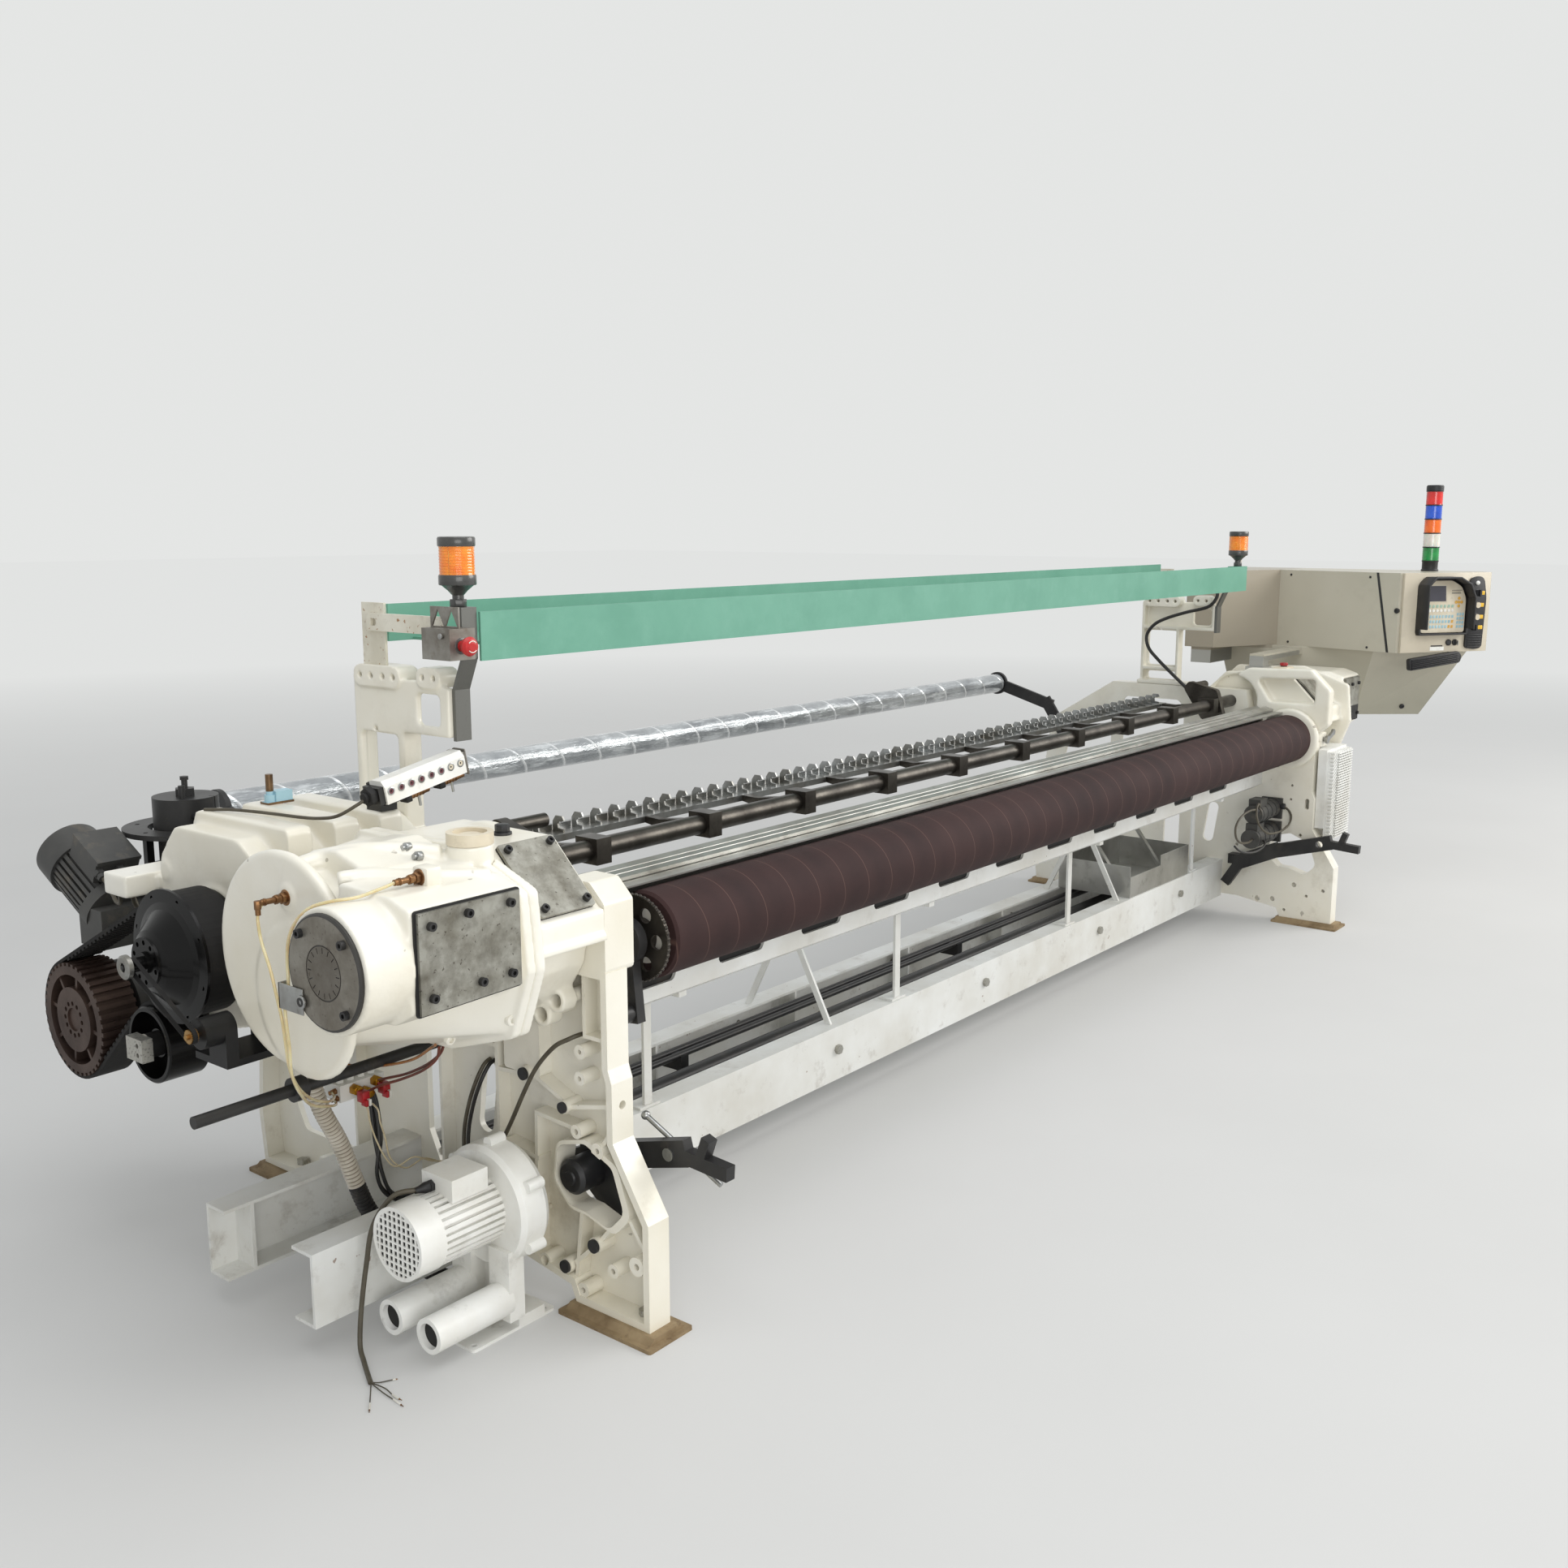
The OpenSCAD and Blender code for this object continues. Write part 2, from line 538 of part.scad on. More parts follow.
// Belt loop at distance e outside the pulleys
function loop_angles(e) =
    let (rp = pulley_r + e, rd = drum_r + e, ri = idler_r + 2 * gap + belt_t - e)
    [rp, rd, ri, outer_at(pc, rp, dc, rd), heading(dc, ic) + 360 - cross_at(dc, rd, ic, ri),
        heading(ic, pc) + cross_at(ic, ri, pc, rp)];
function belt_loop(e) =
    let (q = loop_angles(e))
    concat(arc(pc, q[0], q[5] - 180, q[3], 30), arc(dc, q[1], q[3], q[4], 30), arc(ic, q[2], q[4] - 180, q[5], 8));

module pulley_teeth(c, r, n, depth, w) for (i = [0:n - 1]) translate(c) rotate(i * 360 / n)
    translate([r - depth, -w / 2]) square([depth + 1, w]);

module motor_pulley() color("rosybrown") {
    difference() {
        along_x(drive_x, belt_w + 8) difference() {
            translate(pc) circle(pulley_r, $fn = 96);
            pulley_teeth(pc, pulley_r, pulley_n, 7, 9.5);
        }
        translate([drive_x, pulley_y, pulley_z]) rotate([0, 90, 0]) {
            // Dished face with a hub and eight spokes
            translate([0, 0, -1]) difference() {
                cylinder(h = 30, r = pulley_r - 26);
                cylinder(h = 30, r = 72);
                for (i = [0:7]) rotate(i * 45 + 10) translate([60, -4, 6]) cube([60, 8, 30]);
            }
            for (i = [0:11]) rotate(i * 30) translate([36, 0, -1]) cylinder(h = 8, r = 5.2, $fn = 20);
            translate([0, 0, -1]) cylinder(h = 5, r = 26);
        }
    }
    rod_x(drive_x + belt_w + 8, pulley_y, pulley_z, 28, 130);
}

// Brake drum with flange, cone and hub, turning with its shaft and the encoder pulley
drum_face = rear_case_x - 6;
module brake_drum() color([0.13, 0.13, 0.14]) difference() {
    turned_x(drum_face, drum_y, drum_z, [[0, 90], [30 - fit, 90], [30 - fit, -gap], [60, -gap],
        [drum_r, -6], [drum_r, -belt_w - 22], [drum_flange_r, -belt_w - 22], [drum_flange_r, -belt_w - 28],
        [drum_flange_r - 26, -belt_w - 30], [drum_flange_r - 40, -belt_w - 34], [62, -belt_w - 68],
        [50, -belt_w - 74], [50, -belt_w - 80], [22, -belt_w - 80], [22, -belt_w - 86],
        [enc_r, -belt_w - 86], [enc_r, -encoder_out], [0, -encoder_out]]);
    for (i = [0:7]) translate([drum_face - belt_w - 29, drum_y, drum_z]) rotate([i * 45 + 20, 0, 0])
        translate([0, 0, drum_flange_r - 13]) rotate([0, 90, 0]) cylinder(h = 10, r = 5, $fn = 20);
    for (i = [0:9]) translate([drum_face - belt_w - 81, drum_y, drum_z]) rotate([i * 36, 0, 0])
        translate([0, 0, 40]) rotate([0, 90, 0]) cylinder(h = 5, r = 5, $fn = 20);
}
encoder_out = 188;
encoder_x = drum_face - encoder_out;
enc_c = [-52, 671];
enc_r = 14;

module main_motor() color([0.2, 0.2, 0.2]) difference() {
    union() {
        along_x(-2520, 300) difference() {
            translate(pc) circle(100, $fn = 96);
            for (i = [0:35]) translate(pc) rotate(i * 10) translate([90, -3]) square([20, 6]);
        }
        rod_x(-2560, pulley_y, pulley_z, 108, 40);
        rod_x(-2220, pulley_y, pulley_z, 104, frame_x + 2220);
        translate([-2420, pulley_y - 60, pulley_z + 92]) cube([120, 120, 46]);
    }
    rod_x(-2561, pulley_y, pulley_z, 28 + fit, 120);
}

// Toothed drive belt: teeth stand on the inside of the free spans only
belt_pitch = 19;
module span_teeth(a, b, side) {
    l = norm(b - a);
    k = floor((l - 84) / belt_pitch);
    for (i = [0:k]) translate(a) rotate(atan2(b[1] - a[1], b[0] - a[0]))
        translate([(l - k * belt_pitch) / 2 + i * belt_pitch - 5, side > 0 ? -0.5 : -5]) square([10, 5.5]);
}
module drive_belt() color([0.08, 0.08, 0.08]) {
    q = loop_angles(gap);
    along_x(drive_x + 4, belt_w) {
        difference() {
            polygon(belt_loop(gap + belt_t));
            polygon(belt_loop(gap));
        }
        span_teeth(polar(dc, q[1], q[3]), polar(pc, q[0], q[3]), -1);
        span_teeth(polar(ic, q[2], q[5]), polar(pc, q[0], q[5] - 180), 1);
    }
}

idler_x = drive_x - 12;
module idler_roller() color([0.1, 0.1, 0.11]) turned_x(idler_x, idler_y, idler_z, [[12 + fit, 20], [30, 20],
    [30, 50], [70, 50], [70, 0], [idler_r - 3, 0], [idler_r, 3], [idler_r, belt_w + 13], [70, belt_w + 13],
    [70, 60], [12 + fit, 60]]);

module drive_bracket() {
    color("gray") difference() {
        translate([idler_x - 32, idler_y - 30, idler_z - 24]) cube([24, 60, 48]);
        for (z = [-10, 10]) rod_x(idler_x - 33, idler_y - 12, idler_z + z, 5, 26);
    }
    color([0.1, 0.1, 0.1]) {
        rod_x(idler_x - 8, idler_y, idler_z, 26, 28 - gap);
        rod_x(idler_x - 8, idler_y, idler_z, 12, 100);
        // Arm that carries the idler pin on the rear gear case
        along_x(idler_x + belt_w + 13 + gap, rear_case_x - idler_x - belt_w - 13 - gap) {
            translate(ic) circle(34);
            translate([idler_y - 34, idler_z]) square([68, 60]);
        }
        // Encoder housing and its bracket
        rod_x(encoder_x + 22, enc_c[0], enc_c[1], 30, 64);
        translate([encoder_x + 60, enc_c[0] - 30, enc_c[1] - 62]) cube([26, 60, 62]);
        translate([encoder_x + 60, enc_c[0] - 30, enc_c[1] - 74]) cube([rear_case_x - encoder_x - 60 + 30, 110, 14]);
        translate([rear_case_x - 14, enc_c[0] - 30, enc_c[1] - 74]) cube([13.95, 110, 80]);
    }
}

module encoder_belt() color([0.05, 0.05, 0.05]) translate([encoder_x + 4, 0, 0])
    rotate([90, 0, 90]) linear_extrude(9) difference() {
        belt_pair(enc_r + gap + 1.6);
        belt_pair(enc_r + gap);
    }
// Stadium round the two encoder pulleys
module belt_pair(r)
    translate(enc_c) rotate(atan2(dc[1] - enc_c[1], dc[0] - enc_c[0])) polygon(concat(
        [for (i = [0:18]) [norm(dc - enc_c) + r * sin(i * 10), -r * cos(i * 10)]],
        [for (i = [0:18]) [-r * sin(i * 10), r * cos(i * 10)]]));
module encoder_wheel() color("goldenrod") {
    along_x(encoder_x + 2, 14) difference() {
        translate(enc_c) circle(enc_r);
        pulley_teeth(enc_c, enc_r, 20, 1.4, 2);
    }
    rod_x(encoder_x - 4, enc_c[0], enc_c[1], 5, 6);
    rod_x(encoder_x + 16, enc_c[0], enc_c[1], 5, 6 - gap);
}

// Finned gear motor behind the belt drive; its axis runs forward and down
letoff_c = [-2480, 690, 740];
module let_off_motor() {
    color("gray") translate(letoff_c) rotate([-62, 0, 0]) {
        cylinder(h = 30, r = 74);
        translate([0, 0, 30]) linear_extrude(140) difference() {
            circle(70, $fn = 72);
            for (i = [0:29]) rotate(i * 12) translate([60, -3]) square([20, 6]);
        }
        translate([0, 0, 170]) difference() {
            cylinder(h = 70, r = 76);
            translate([0, 0, 62]) for (i = [0:5]) rotate(i * 60) translate([20, -5, 0]) cube([42, 10, 20]);
        }
        translate([-52, -112, 40]) cube([104, 50, 110]);
        translate([-52, -120, 36]) cube([104, 9, 118]);
    }
    color("gray") {
        // Gear housing between the motor and the side frame
        translate([letoff_c[0] - 70, letoff_c[1] - 56, letoff_c[2] - 70]) cube([140, 100, 90]);
        translate([letoff_c[0] + 70, letoff_c[1] - 36, letoff_c[2] - 60])
            cube([frame_x - letoff_c[0] - 70, 60, 79.7]);
    }
    color("beige") for (x = [-24, 24]) translate(letoff_c) rotate([-62, 0, 0])
        translate([x - 20, -90, 42]) rotate([180, 0, 0]) {
            cylinder(h = 14, r = 13, $fn = 6);
            translate([0, 0, 14]) cylinder(h = 12, r = 10);
        }
}

// Upright coupling on its pillar stand
coup_x = -2280;
coup_y = 720;
coup_z = 903;
module coupling_stand() color([0.15, 0.15, 0.16]) difference() {
    union() {
        translate([coup_x - 90, coup_y - 80, 790]) cube([180, 160, 14]);
        translate([coup_x + 60, coup_y - 120, 760]) cube([frame_x - coup_x - 60, 150, 44]);
        for (a = [30:90:300]) translate([coup_x + 104 * cos(a), coup_y + 104 * sin(a), 804])
            translate([-9, -9, -20]) cube([18, 18, coup_z - 804 + 12]);
        translate([coup_x, coup_y, 784]) cylinder(h = 20, r = 118);
        translate([coup_x, coup_y, 804]) cylinder(h = coup_z - 804 - 8, r = 46);
        difference() {
            translate([coup_x, coup_y, coup_z - 8]) cylinder(h = 12, r = 145, $fn = 72);
            translate([coup_x, coup_y, coup_z - 9]) cylinder(h = 14, r = 88, $fn = 72);
        }
    }
    for (i = [0:5]) translate([coup_x, coup_y, 0]) rotate(i * 60 + 10) translate([118, 0, coup_z - 9])
        cylinder(h = 14, r = 5.5, $fn = 24);
    translate([coup_x, coup_y, 806]) cylinder(h = 100, r = 18 + fit);
}
module coupling_drum() color([0.18, 0.18, 0.19]) translate([coup_x, coup_y, 0]) difference() {
    union() {
        translate([0, 0, coup_z - 8 + gap]) cylinder(h = 82, r = 75);
        translate([0, 0, 812]) cylinder(h = coup_z - 811, r = 18);
        translate([0, 0, coup_z + 74]) cylinder(h = 18, r = 24, $fn = 6);
        translate([0, 0, coup_z + 90]) cylinder(h = 24, r = 7);
        translate([0, 0, coup_z + 112]) cylinder(h = 8, r = 11, $fn = 6);
        rotate(-130) translate([40, 0, coup_z + 74]) cylinder(h = 30, r = 8);
        rotate(-105) translate([0, 0, coup_z + 34]) rotate([0, 90, 0]) cylinder(h = 104, r = 9);
    }
    rotate(-105) translate([80, 0, coup_z + 34]) rotate([0, 90, 0]) cylinder(h = 30, r = 5);
    rotate(-60) translate([60, -1.5, coup_z - 10]) cube([30, 3, 100]);
}

// Sensor on a post above the rear gear case
sensor = [-2360, 240, 1024.05];
module position_sensor() {
    color("peru") translate(sensor) {
        cylinder(h = 20, r = 12);
        cylinder(h = 64, r = 8);
        translate([-14, -16, 0]) cube([62, 32, 5]);
    }
    color("lightblue") translate(sensor + [6, -14, 5]) cube([40, 26, 22]);
}

// Lifting bar through the side frame with its clamp ring
module carrying_bar() color([0.12, 0.12, 0.13]) {
    rod_x(frame_x - bar_out, bar_y, bar_z, bar_r, bar_out + 50);
    rod_x(-2600, bar_y, bar_z, 24, 26);
    rod_x(frame_x - 20, bar_y, bar_z, 30, 20 - gap);
}

module oil_manifold() {
    color("whitesmoke") {
        translate([-2410, -30, 430]) cube([110, 56, 36]);
        translate([-2400, 8, 430]) cube([60, 8, 195.8]);
    }
    color("goldenrod") for (i = [0:3]) translate([-2396 + i * 26, -10, 466]) {
        cylinder(h = 12, r = 8, $fn = 6);
        cylinder(h = 26, r = 4);
    }
}

// Take-up roller: shaft, cheeks and covered sleeve turn together
roller_l = inner_l + 160;
roller_e = inner_r - 28;
module take_up_roller() color([0.3, 0.17, 0.18]) turned_x(roller_l, roller_y, roller_z, [[0, -70], [18, -70],
    [18, -6], [60, -6], [60, 0], [roller_r - 6, 0], [roller_r, 6], [roller_r, roller_e - roller_l - 4],
    [roller_r - 4, roller_e - roller_l], [30, roller_e - roller_l], [30, roller_e - roller_l + 60],
    [0, roller_e - roller_l + 60]]);
module take_up_sprocket() color([0.25, 0.24, 0.23]) {
    difference() {
        rod_x(roller_l - 30, roller_y, roller_z, 92, 8);
        rod_x(roller_l - 31, roller_y, roller_z, 18 + fit, 10);
        for (i = [0:5]) rod_x(roller_l - 31, roller_y + 60 * cos(i * 60), roller_z + 60 * sin(i * 60), 16, 10);
    }
    for (i = [0:sprocket_n - 1]) translate([roller_l - 26, roller_y + 91 * cos(i * 360 / sprocket_n),
        roller_z + 91 * sin(i * 360 / sprocket_n)]) sphere(4.6, $fn = 16);
    difference() {
        rod_x(roller_l - 22 - 0.05, roller_y, roller_z, 40, 15);
        rod_x(roller_l - 23, roller_y, roller_z, 18 + fit, 20);
    }
}
module roller_arm() color([0.14, 0.14, 0.14]) difference() {
    union() {
        along_x(inner_l + 92, 24) {
            bar([roller_y, roller_z], [-400, roller_z + 53], 40);
            bar([roller_y, roller_z], [-470, roller_z - 151], 44);
            translate([roller_y, roller_z]) circle(48);
        }
        along_x(inner_l, 100) translate([-470, roller_z - 151]) circle(20);
        rod_x(frame_x + 0.05, -400, roller_z + 53, 14, frame_d + 100);
    }
    rod_x(inner_l + 80, roller_y, roller_z, 18 + fit, 60);
}

// Fluted guide rails above the roller
module guide_rails() color("silver") {
    l = inner_r - inner_l - 60;
    along_x(inner_l + 30, l) translate([0, roller_z]) {
        difference() {
            polygon([[-352, 107], [-322, 123], [-318, 107], [-346, 91]]);
            translate([-337, 117]) circle(2.5);
            translate([-345, 112]) circle(2.5);
        }
        difference() {
            polygon([[-392, 115], [-360, 123], [-356, 107], [-390, 101]]);
            translate([-376, 120]) circle(2.5);
        }
        translate([-430, 101]) square([36, 4]);
        translate([-400, 94]) square([90, 8]);
        translate([-350, beam_top - roller_z]) square([6, 95 + roller_z - beam_top]);
    }
}

sley_l = inner_l + 8;
sley_len = inner_r - inner_l - 16;
module sley_shaft() color("darkgray") {
    rod_x(inner_l - 20, sley_y, sley_z, sley_r, inner_r - inner_l + 40);
    for (i = [0:9]) {
        x = inner_l + 240 + i * (sley_len - 480) / 9;
        translate([x, sley_y - 34, sley_z - 30]) cube([46, 68, 60]);
        along_x(x + 8, 26) polygon([[sley_y + 20, sley_z + 10], [-60, sley_z - 6], [-12, sley_z - 4],
            [-12, sley_z - 20], [-70, sley_z - 30], [sley_y + 20, sley_z - 28]]);
    }
    // Black end blocks with the cylinder
    for (x = [inner_l + 60, inner_r - 200]) {
        along_x(x, 30) polygon(rounded([[sley_y - 60, sley_z - 70], [sley_y + 40, sley_z - 60],
            [sley_y + 120, sley_z + 60], [sley_y + 100, sley_z + 90], [sley_y - 20, sley_z + 60]], 16));
        rod_x(x + 30, sley_y + 90, sley_z + 66, 16, 110);
    }
}
module sley_beam() color("silver") difference() {
    union() {
        along_x(sley_l + 200, sley_len - 400) polygon([[-12, sley_z - 20], [60, sley_z - 20], [60, sley_z + 10],
            [44, sley_z + 10], [44, sley_z - 4], [-12, sley_z - 4]]);
        for (i = [0:hook_n - 1]) translate([sley_l + 230 + i * (sley_len - 470) / (hook_n - 1), 0, 0])
            along_x(0, 5) difference() {
                polygon([[4, sley_z - 4], [40, sley_z - 4], [40, sley_z + 20], [30, sley_z + 34],
                    [8, sley_z + 34], [2, sley_z + 24], [12, sley_z + 20], [20, sley_z + 22], [24, sley_z + 14],
                    [22, sley_z + 4], [4, sley_z + 2]]);
            }
    }
}

module back_rest_tube() color("lightgray") difference() {
    rod_x(inner_l + 20, rest_y, rest_z, rest_r, inner_r - inner_l - 40);
    rod_x(inner_l + 19, rest_y, rest_z, 20 + fit, inner_r - inner_l - 38);
}
module rest_bracket() {
    rod_x(inner_l + 0.05, rest_y, rest_z, 20, 90);
    along_x(inner_l + 0.05, 14) {
        translate([rest_y, rest_z]) circle(50);
        bar([rest_y, rest_z], [640, 820], 50);
        bar([640, 820], [560, 700], 50);
    }
}
module back_rest_brackets() color([0.13, 0.13, 0.14]) {
    rest_bracket();
    mirrored() rest_bracket();
}

// Black cloth roller arms inside the side frames, with a bearing fork at the front
module cloth_arm() difference() {
    along_x(inner_l + 44, 26) union() {
        bar([-430, 300], [-640, 360], 56);
        bar([-640, 360], [-760, 352], 30);
        bar([-700, 356], [-716, 400], 22);
        bar([-430, 300], [-300, 240], 60);
        bar([-300, 240], [-250, 160], 40);
    }
    rod_x(inner_l + 40, -620, 354, 14, 40);
}
module cloth_arms() color([0.12, 0.12, 0.12]) {
    for (s = [0, 1]) mirror_if(s) {
        cloth_arm();
        translate([inner_l + 0.05, -300, 222]) cube([45, 60, 40]);
    }
}
module cloth_latch() color("dimgray") {
    rod_x(inner_l + 41, -620, 354, 14 - fit, 46);
    translate([inner_l + 84, -620, 354]) rotate([-65, 0, 0]) {
        translate([0, 0, -10]) cylinder(h = 120, r = 6);
        translate([0, 0, -118]) cylinder(h = 110, r = 6);
        translate([0, 0, 110]) sphere(10);
    }
}

// Post casting on the side frame: window panel at the front, open frame at the back, two rows of bosses
post_w = 50;
post_bosses = [[67, 1290], [102, 1290], [143, 1290], [181, 1290], [-69, 1296], [-33, 1296]];
module boss_row(y0, y1, z, r) {
    translate([y0, z]) circle(r);
    translate([y1, z]) circle(r);
    translate([y0, z - r]) square([y1 - y0, 2 * r]);
}
module post_casting() difference() {
    union() {
        along_x(frame_x, 16) polygon([[-110, 1173], [44, 1173], [44, deck_h], [212, deck_h], [212, 1286],
            [50, 1286], [-33, 1290], [-110, 1276]]);
        along_x(frame_x, post_w) {
            bar([-104, 1179], [-104, 1270], 12);
            bar([-104, 1179], [50, 1179], 12);
            bar([50, 1179], [50, deck_h + 6], 12);
            bar([206, deck_h + 6], [206, 1282], 12);
            bar([50, 1179], [206, 1179], 12);
            bar([50, deck_h + 66], [206, deck_h + 66], 12);
        }
        translate([frame_x, -5, deck_h + 0.05]) cube([frame_d, 227, 16]);
        along_x(frame_x - 5, post_w + 5) {
            boss_row(67, 181, 1290, 24);
            boss_row(-69, -33, 1296, 22);
        }
    }
    along_x(frame_x - 10, 90) {
        polygon(rounded([[-81, 1193], [-5, 1193], [-5, 1261], [-81, 1261]], 12));
        polygon(rounded([[64, deck_h + 80], [192, deck_h + 80], [192, 1165], [64, 1165]], 12));
        polygon(rounded([[64, deck_h + 20], [192, deck_h + 20], [192, deck_h + 52], [64, deck_h + 52]], 8));
    }
    for (p = concat(post_bosses, [[-60, 1215], [140, 1173]])) rod_x(frame_x - 10, p[0], p[1], 6.5, 90);
}
module post_castings() color("ivory") {
    post_casting();
    mirrored() post_casting();
}

// Beam of a tall front plate and a lower rear plate joined by a floor
beam_l = frame_x + 55;
beam_r = right_x + 155;
strap_y = beam_y + beam_t + gap;
rear_y = 91;
module top_beam() color([0.42, 0.72, 0.6]) {
    translate([beam_l, beam_y, beam_z]) cube([beam_r - beam_l, beam_t, beam_h]);
    translate([frame_x + 10, rear_y, beam_z + 32]) cube([right_x - 160 - frame_x, beam_t, beam_h - 22]);
    translate([beam_l + 20, beam_y + 1, beam_z + 32]) cube([right_x - 230 - beam_l, rear_y - beam_y, beam_t]);
    // Folded end that carries the right beacon
    translate([beam_r - 84, beam_y, beam_z + beam_h - beam_t]) cube([84, 50, beam_t]);
    translate([beam_r - beam_t, beam_y, beam_z]) cube([beam_t, 50, beam_h]);
}

// Bent front strap, upright rear strap and the flat bar between them
bar_zc = 1407;
module front_strap() along_x(frame_x + 11, 40) polygon([[-120.4, 1166], [-110.4, 1166], [-110.4, 1272],
    [strap_y + 9, 1338], [strap_y + 9, beam_z + 104], [-95, beam_z + 104], [-95, beam_z + 112],
    [strap_y, beam_z + 112], [strap_y, 1341], [-120.4, 1274]]);
module beam_straps() color("lightgray") {
    front_strap();
    mirrored() along_x(frame_x + 11, 40) polygon([[-120.4, 1166], [-110.4, 1166], [-110.4, 1272],
        [strap_y + 9, 1338], [strap_y + 9, beam_z + 80], [strap_y, beam_z + 80], [strap_y, 1341],
        [-120.4, 1274]]);
    for (s = [0, 1]) mirror_if(s) translate([frame_x + 4, rear_y + beam_t + 0.3, 1314.05])
        cube([6, 78, s == 0 ? 134 : 110]);
    mirrored() translate([frame_x + 4, rear_y + beam_t + 0.3, 1380]) cube([240, 6, 30]);
    difference() {
        translate([frame_x - 6.3, -101.7, bar_zc - 19]) cube([10, 247.7, 38]);
        along_x(frame_x - 8, 20) translate([120, bar_zc]) {
            circle(8, $fn = 24);
            translate([0, -8]) square([12, 16]);
        }
    }
}

// Stop box beside the front strap, with a crown plate that has two triangular openings
box_x = frame_x - 55;
box_y = -190;
box_z = 1343;
box_w = 65.7;
stop_z = 1372;
stop_x = frame_x - 25;
module stop_box() color("gray") {
    difference() {
        translate([box_x, box_y, box_z]) cube([box_w, 88, 64]);
        translate([box_x + 3, box_y + 3, box_z + 3]) cube([box_w - 6, 82, 58]);
        rod_y(stop_x, box_y - 2, stop_z, 11 + fit, 8);
    }
    difference() {
        translate([box_x + 24, box_y, box_z + 63]) cube([4, 88, 44]);
        along_x(box_x + 22, 8) for (y = [box_y + 23, box_y + 65])
            polygon([[y - 19, box_z + 67], [y + 19, box_z + 67], [y, box_z + 102]]);
    }
    rod_x(box_x - 3, box_y + 24, box_z + 50, 5, 4);
}
module stop_button() color("red") {
    rod_y(stop_x, box_y - 16, stop_z, 11, 60);
    translate([stop_x, box_y - 8, stop_z]) rotate([90, 0, 0]) rotate_extrude()
        polygon([[0, 0], [12, 0], [14, 4], [18, 10], [20, 18], [16, 24], [8, 27], [0, 27]]);
}

module beacon(x, y, z) translate([x, y, z + 0.05]) {
    color([0.08, 0.08, 0.08]) {
        cylinder(h = 16, r = 18, $fn = 6);
        translate([0, 0, 16]) cylinder(h = 8, r = 12);
        translate([0, 0, 24]) cylinder(h = 20, r1 = 13, r2 = 33);
        translate([0, 0, 44]) cylinder(h = 22, r = 39);
        translate([0, 0, 124]) cylinder(h = 20, r = 39);
    }
    color("orange") translate([0, 0, 65]) cylinder(h = 60, r = 37);
}
module beacons() {
    beacon(frame_x + 31, -117, beam_z + 112);
    beacon(beam_r - 45, beam_y + 24, beam_z + beam_h);
}

// Socket rail with eight round sockets, tilted up to the right, on a jointed black arm
sock_l = 208;
module socket_box() {
    translate([-2330, -128, 1060]) rotate([0, -11, 0]) {
        color("whitesmoke") difference() {
            along_x(0, sock_l) polygon([[0, 0], [56, 0], [60, 10], [60, 40], [40, 48], [10, 48], [0, 36]]);
            for (i = [0:7]) rod_y(13 + i * 26, -1, 25, 8, 9);
        }
        color([0.1, 0.1, 0.1]) {
            translate([-14, 4, 2]) cube([14.5, 50, 36]);
            translate([sock_l - 0.5, 4, 2]) cube([8, 50, 42]);
        }
        color("firebrick") for (i = [0:7]) rod_y(13 + i * 26, 2, 25, 7.9, 6.5);
    }
    color([0.1, 0.1, 0.1]) {
        translate([-2270, -24, 1024.05]) cube([40, 50, 14]);
        along_x(-2262, 24) polygon([[-10, 1030], [14, 1036], [-40, 1062], [-84, 1086], [-100, 1076],
            [-60, 1052]]);
    }
}

// Right gear case: mirrored case with the roller's disc housing and a bay for the sley shaft
module right_gear_case() color("ivory") difference() {
    union() {
        mirrored() gear_case_body();
        mirrored() along_x(flange_x - 200, 200) polygon(rounded([[right_plate_y, 800], [right_plate_y, 990],
            [-500, 1010], [-120, 1010], [-60, 900], [-60, 760], [-300, 700], [-500, 740]], 12));
        // Disc housing at the roller's end, carried through the side frame
        turned_x(inner_r - 26, roller_y, roller_z, [[34, 0], [112, 0], [120, 6], [120, 25.95], [34, 25.95]]);
        translate([right_x + 0.05, -560, lever_z - 30]) cube([60, 80, 60]);
        // Horn over the sley bay
        along_x(inner_r + 10, 50) difference() {
            polygon(rounded([[-560, frame_h + 0.05], [-305, frame_h + 0.05], [-268, deck_h + 4], [-214, 1000],
                [-260, 1030], [-520, 1040], [-600, 960], [-600, frame_h + 73], [-556, frame_h + 33]], 10));
            polygon(rounded([[-540, 900], [-360, 900], [-300, 990], [-540, 1000]], 12));
        }
    }
    translate([inner_r + 9, sley_y, sley_z]) rotate([0, 90, 0]) cylinder(h = 60, r = 104);
    rod_x(inner_r - 30, roller_y, roller_z, 30 + 1, 100);
    rod_y(lever_x, -562, lever_z, 9, 30);
}

// Hand lever in the block at the front of the right gear case, above the electronics housing
elec_z = 350;
elec_h = 370;
elec_w = 192;
lever_x = right_x + 30;
lever_z = elec_z + elec_h + 34;
module gear_lever() color("silver") translate([lever_x, -560, lever_z]) rotate([90, 0, 0]) {
    translate([0, 0, -24]) cylinder(h = 34, r = 9 - fit);
    translate([0, 0, 9]) linear_extrude(10) {
        circle(16);
        rotate(20) translate([70, 0]) circle(12);
        rotate(20) translate([0, -8]) square([70, 16]);
    }
}

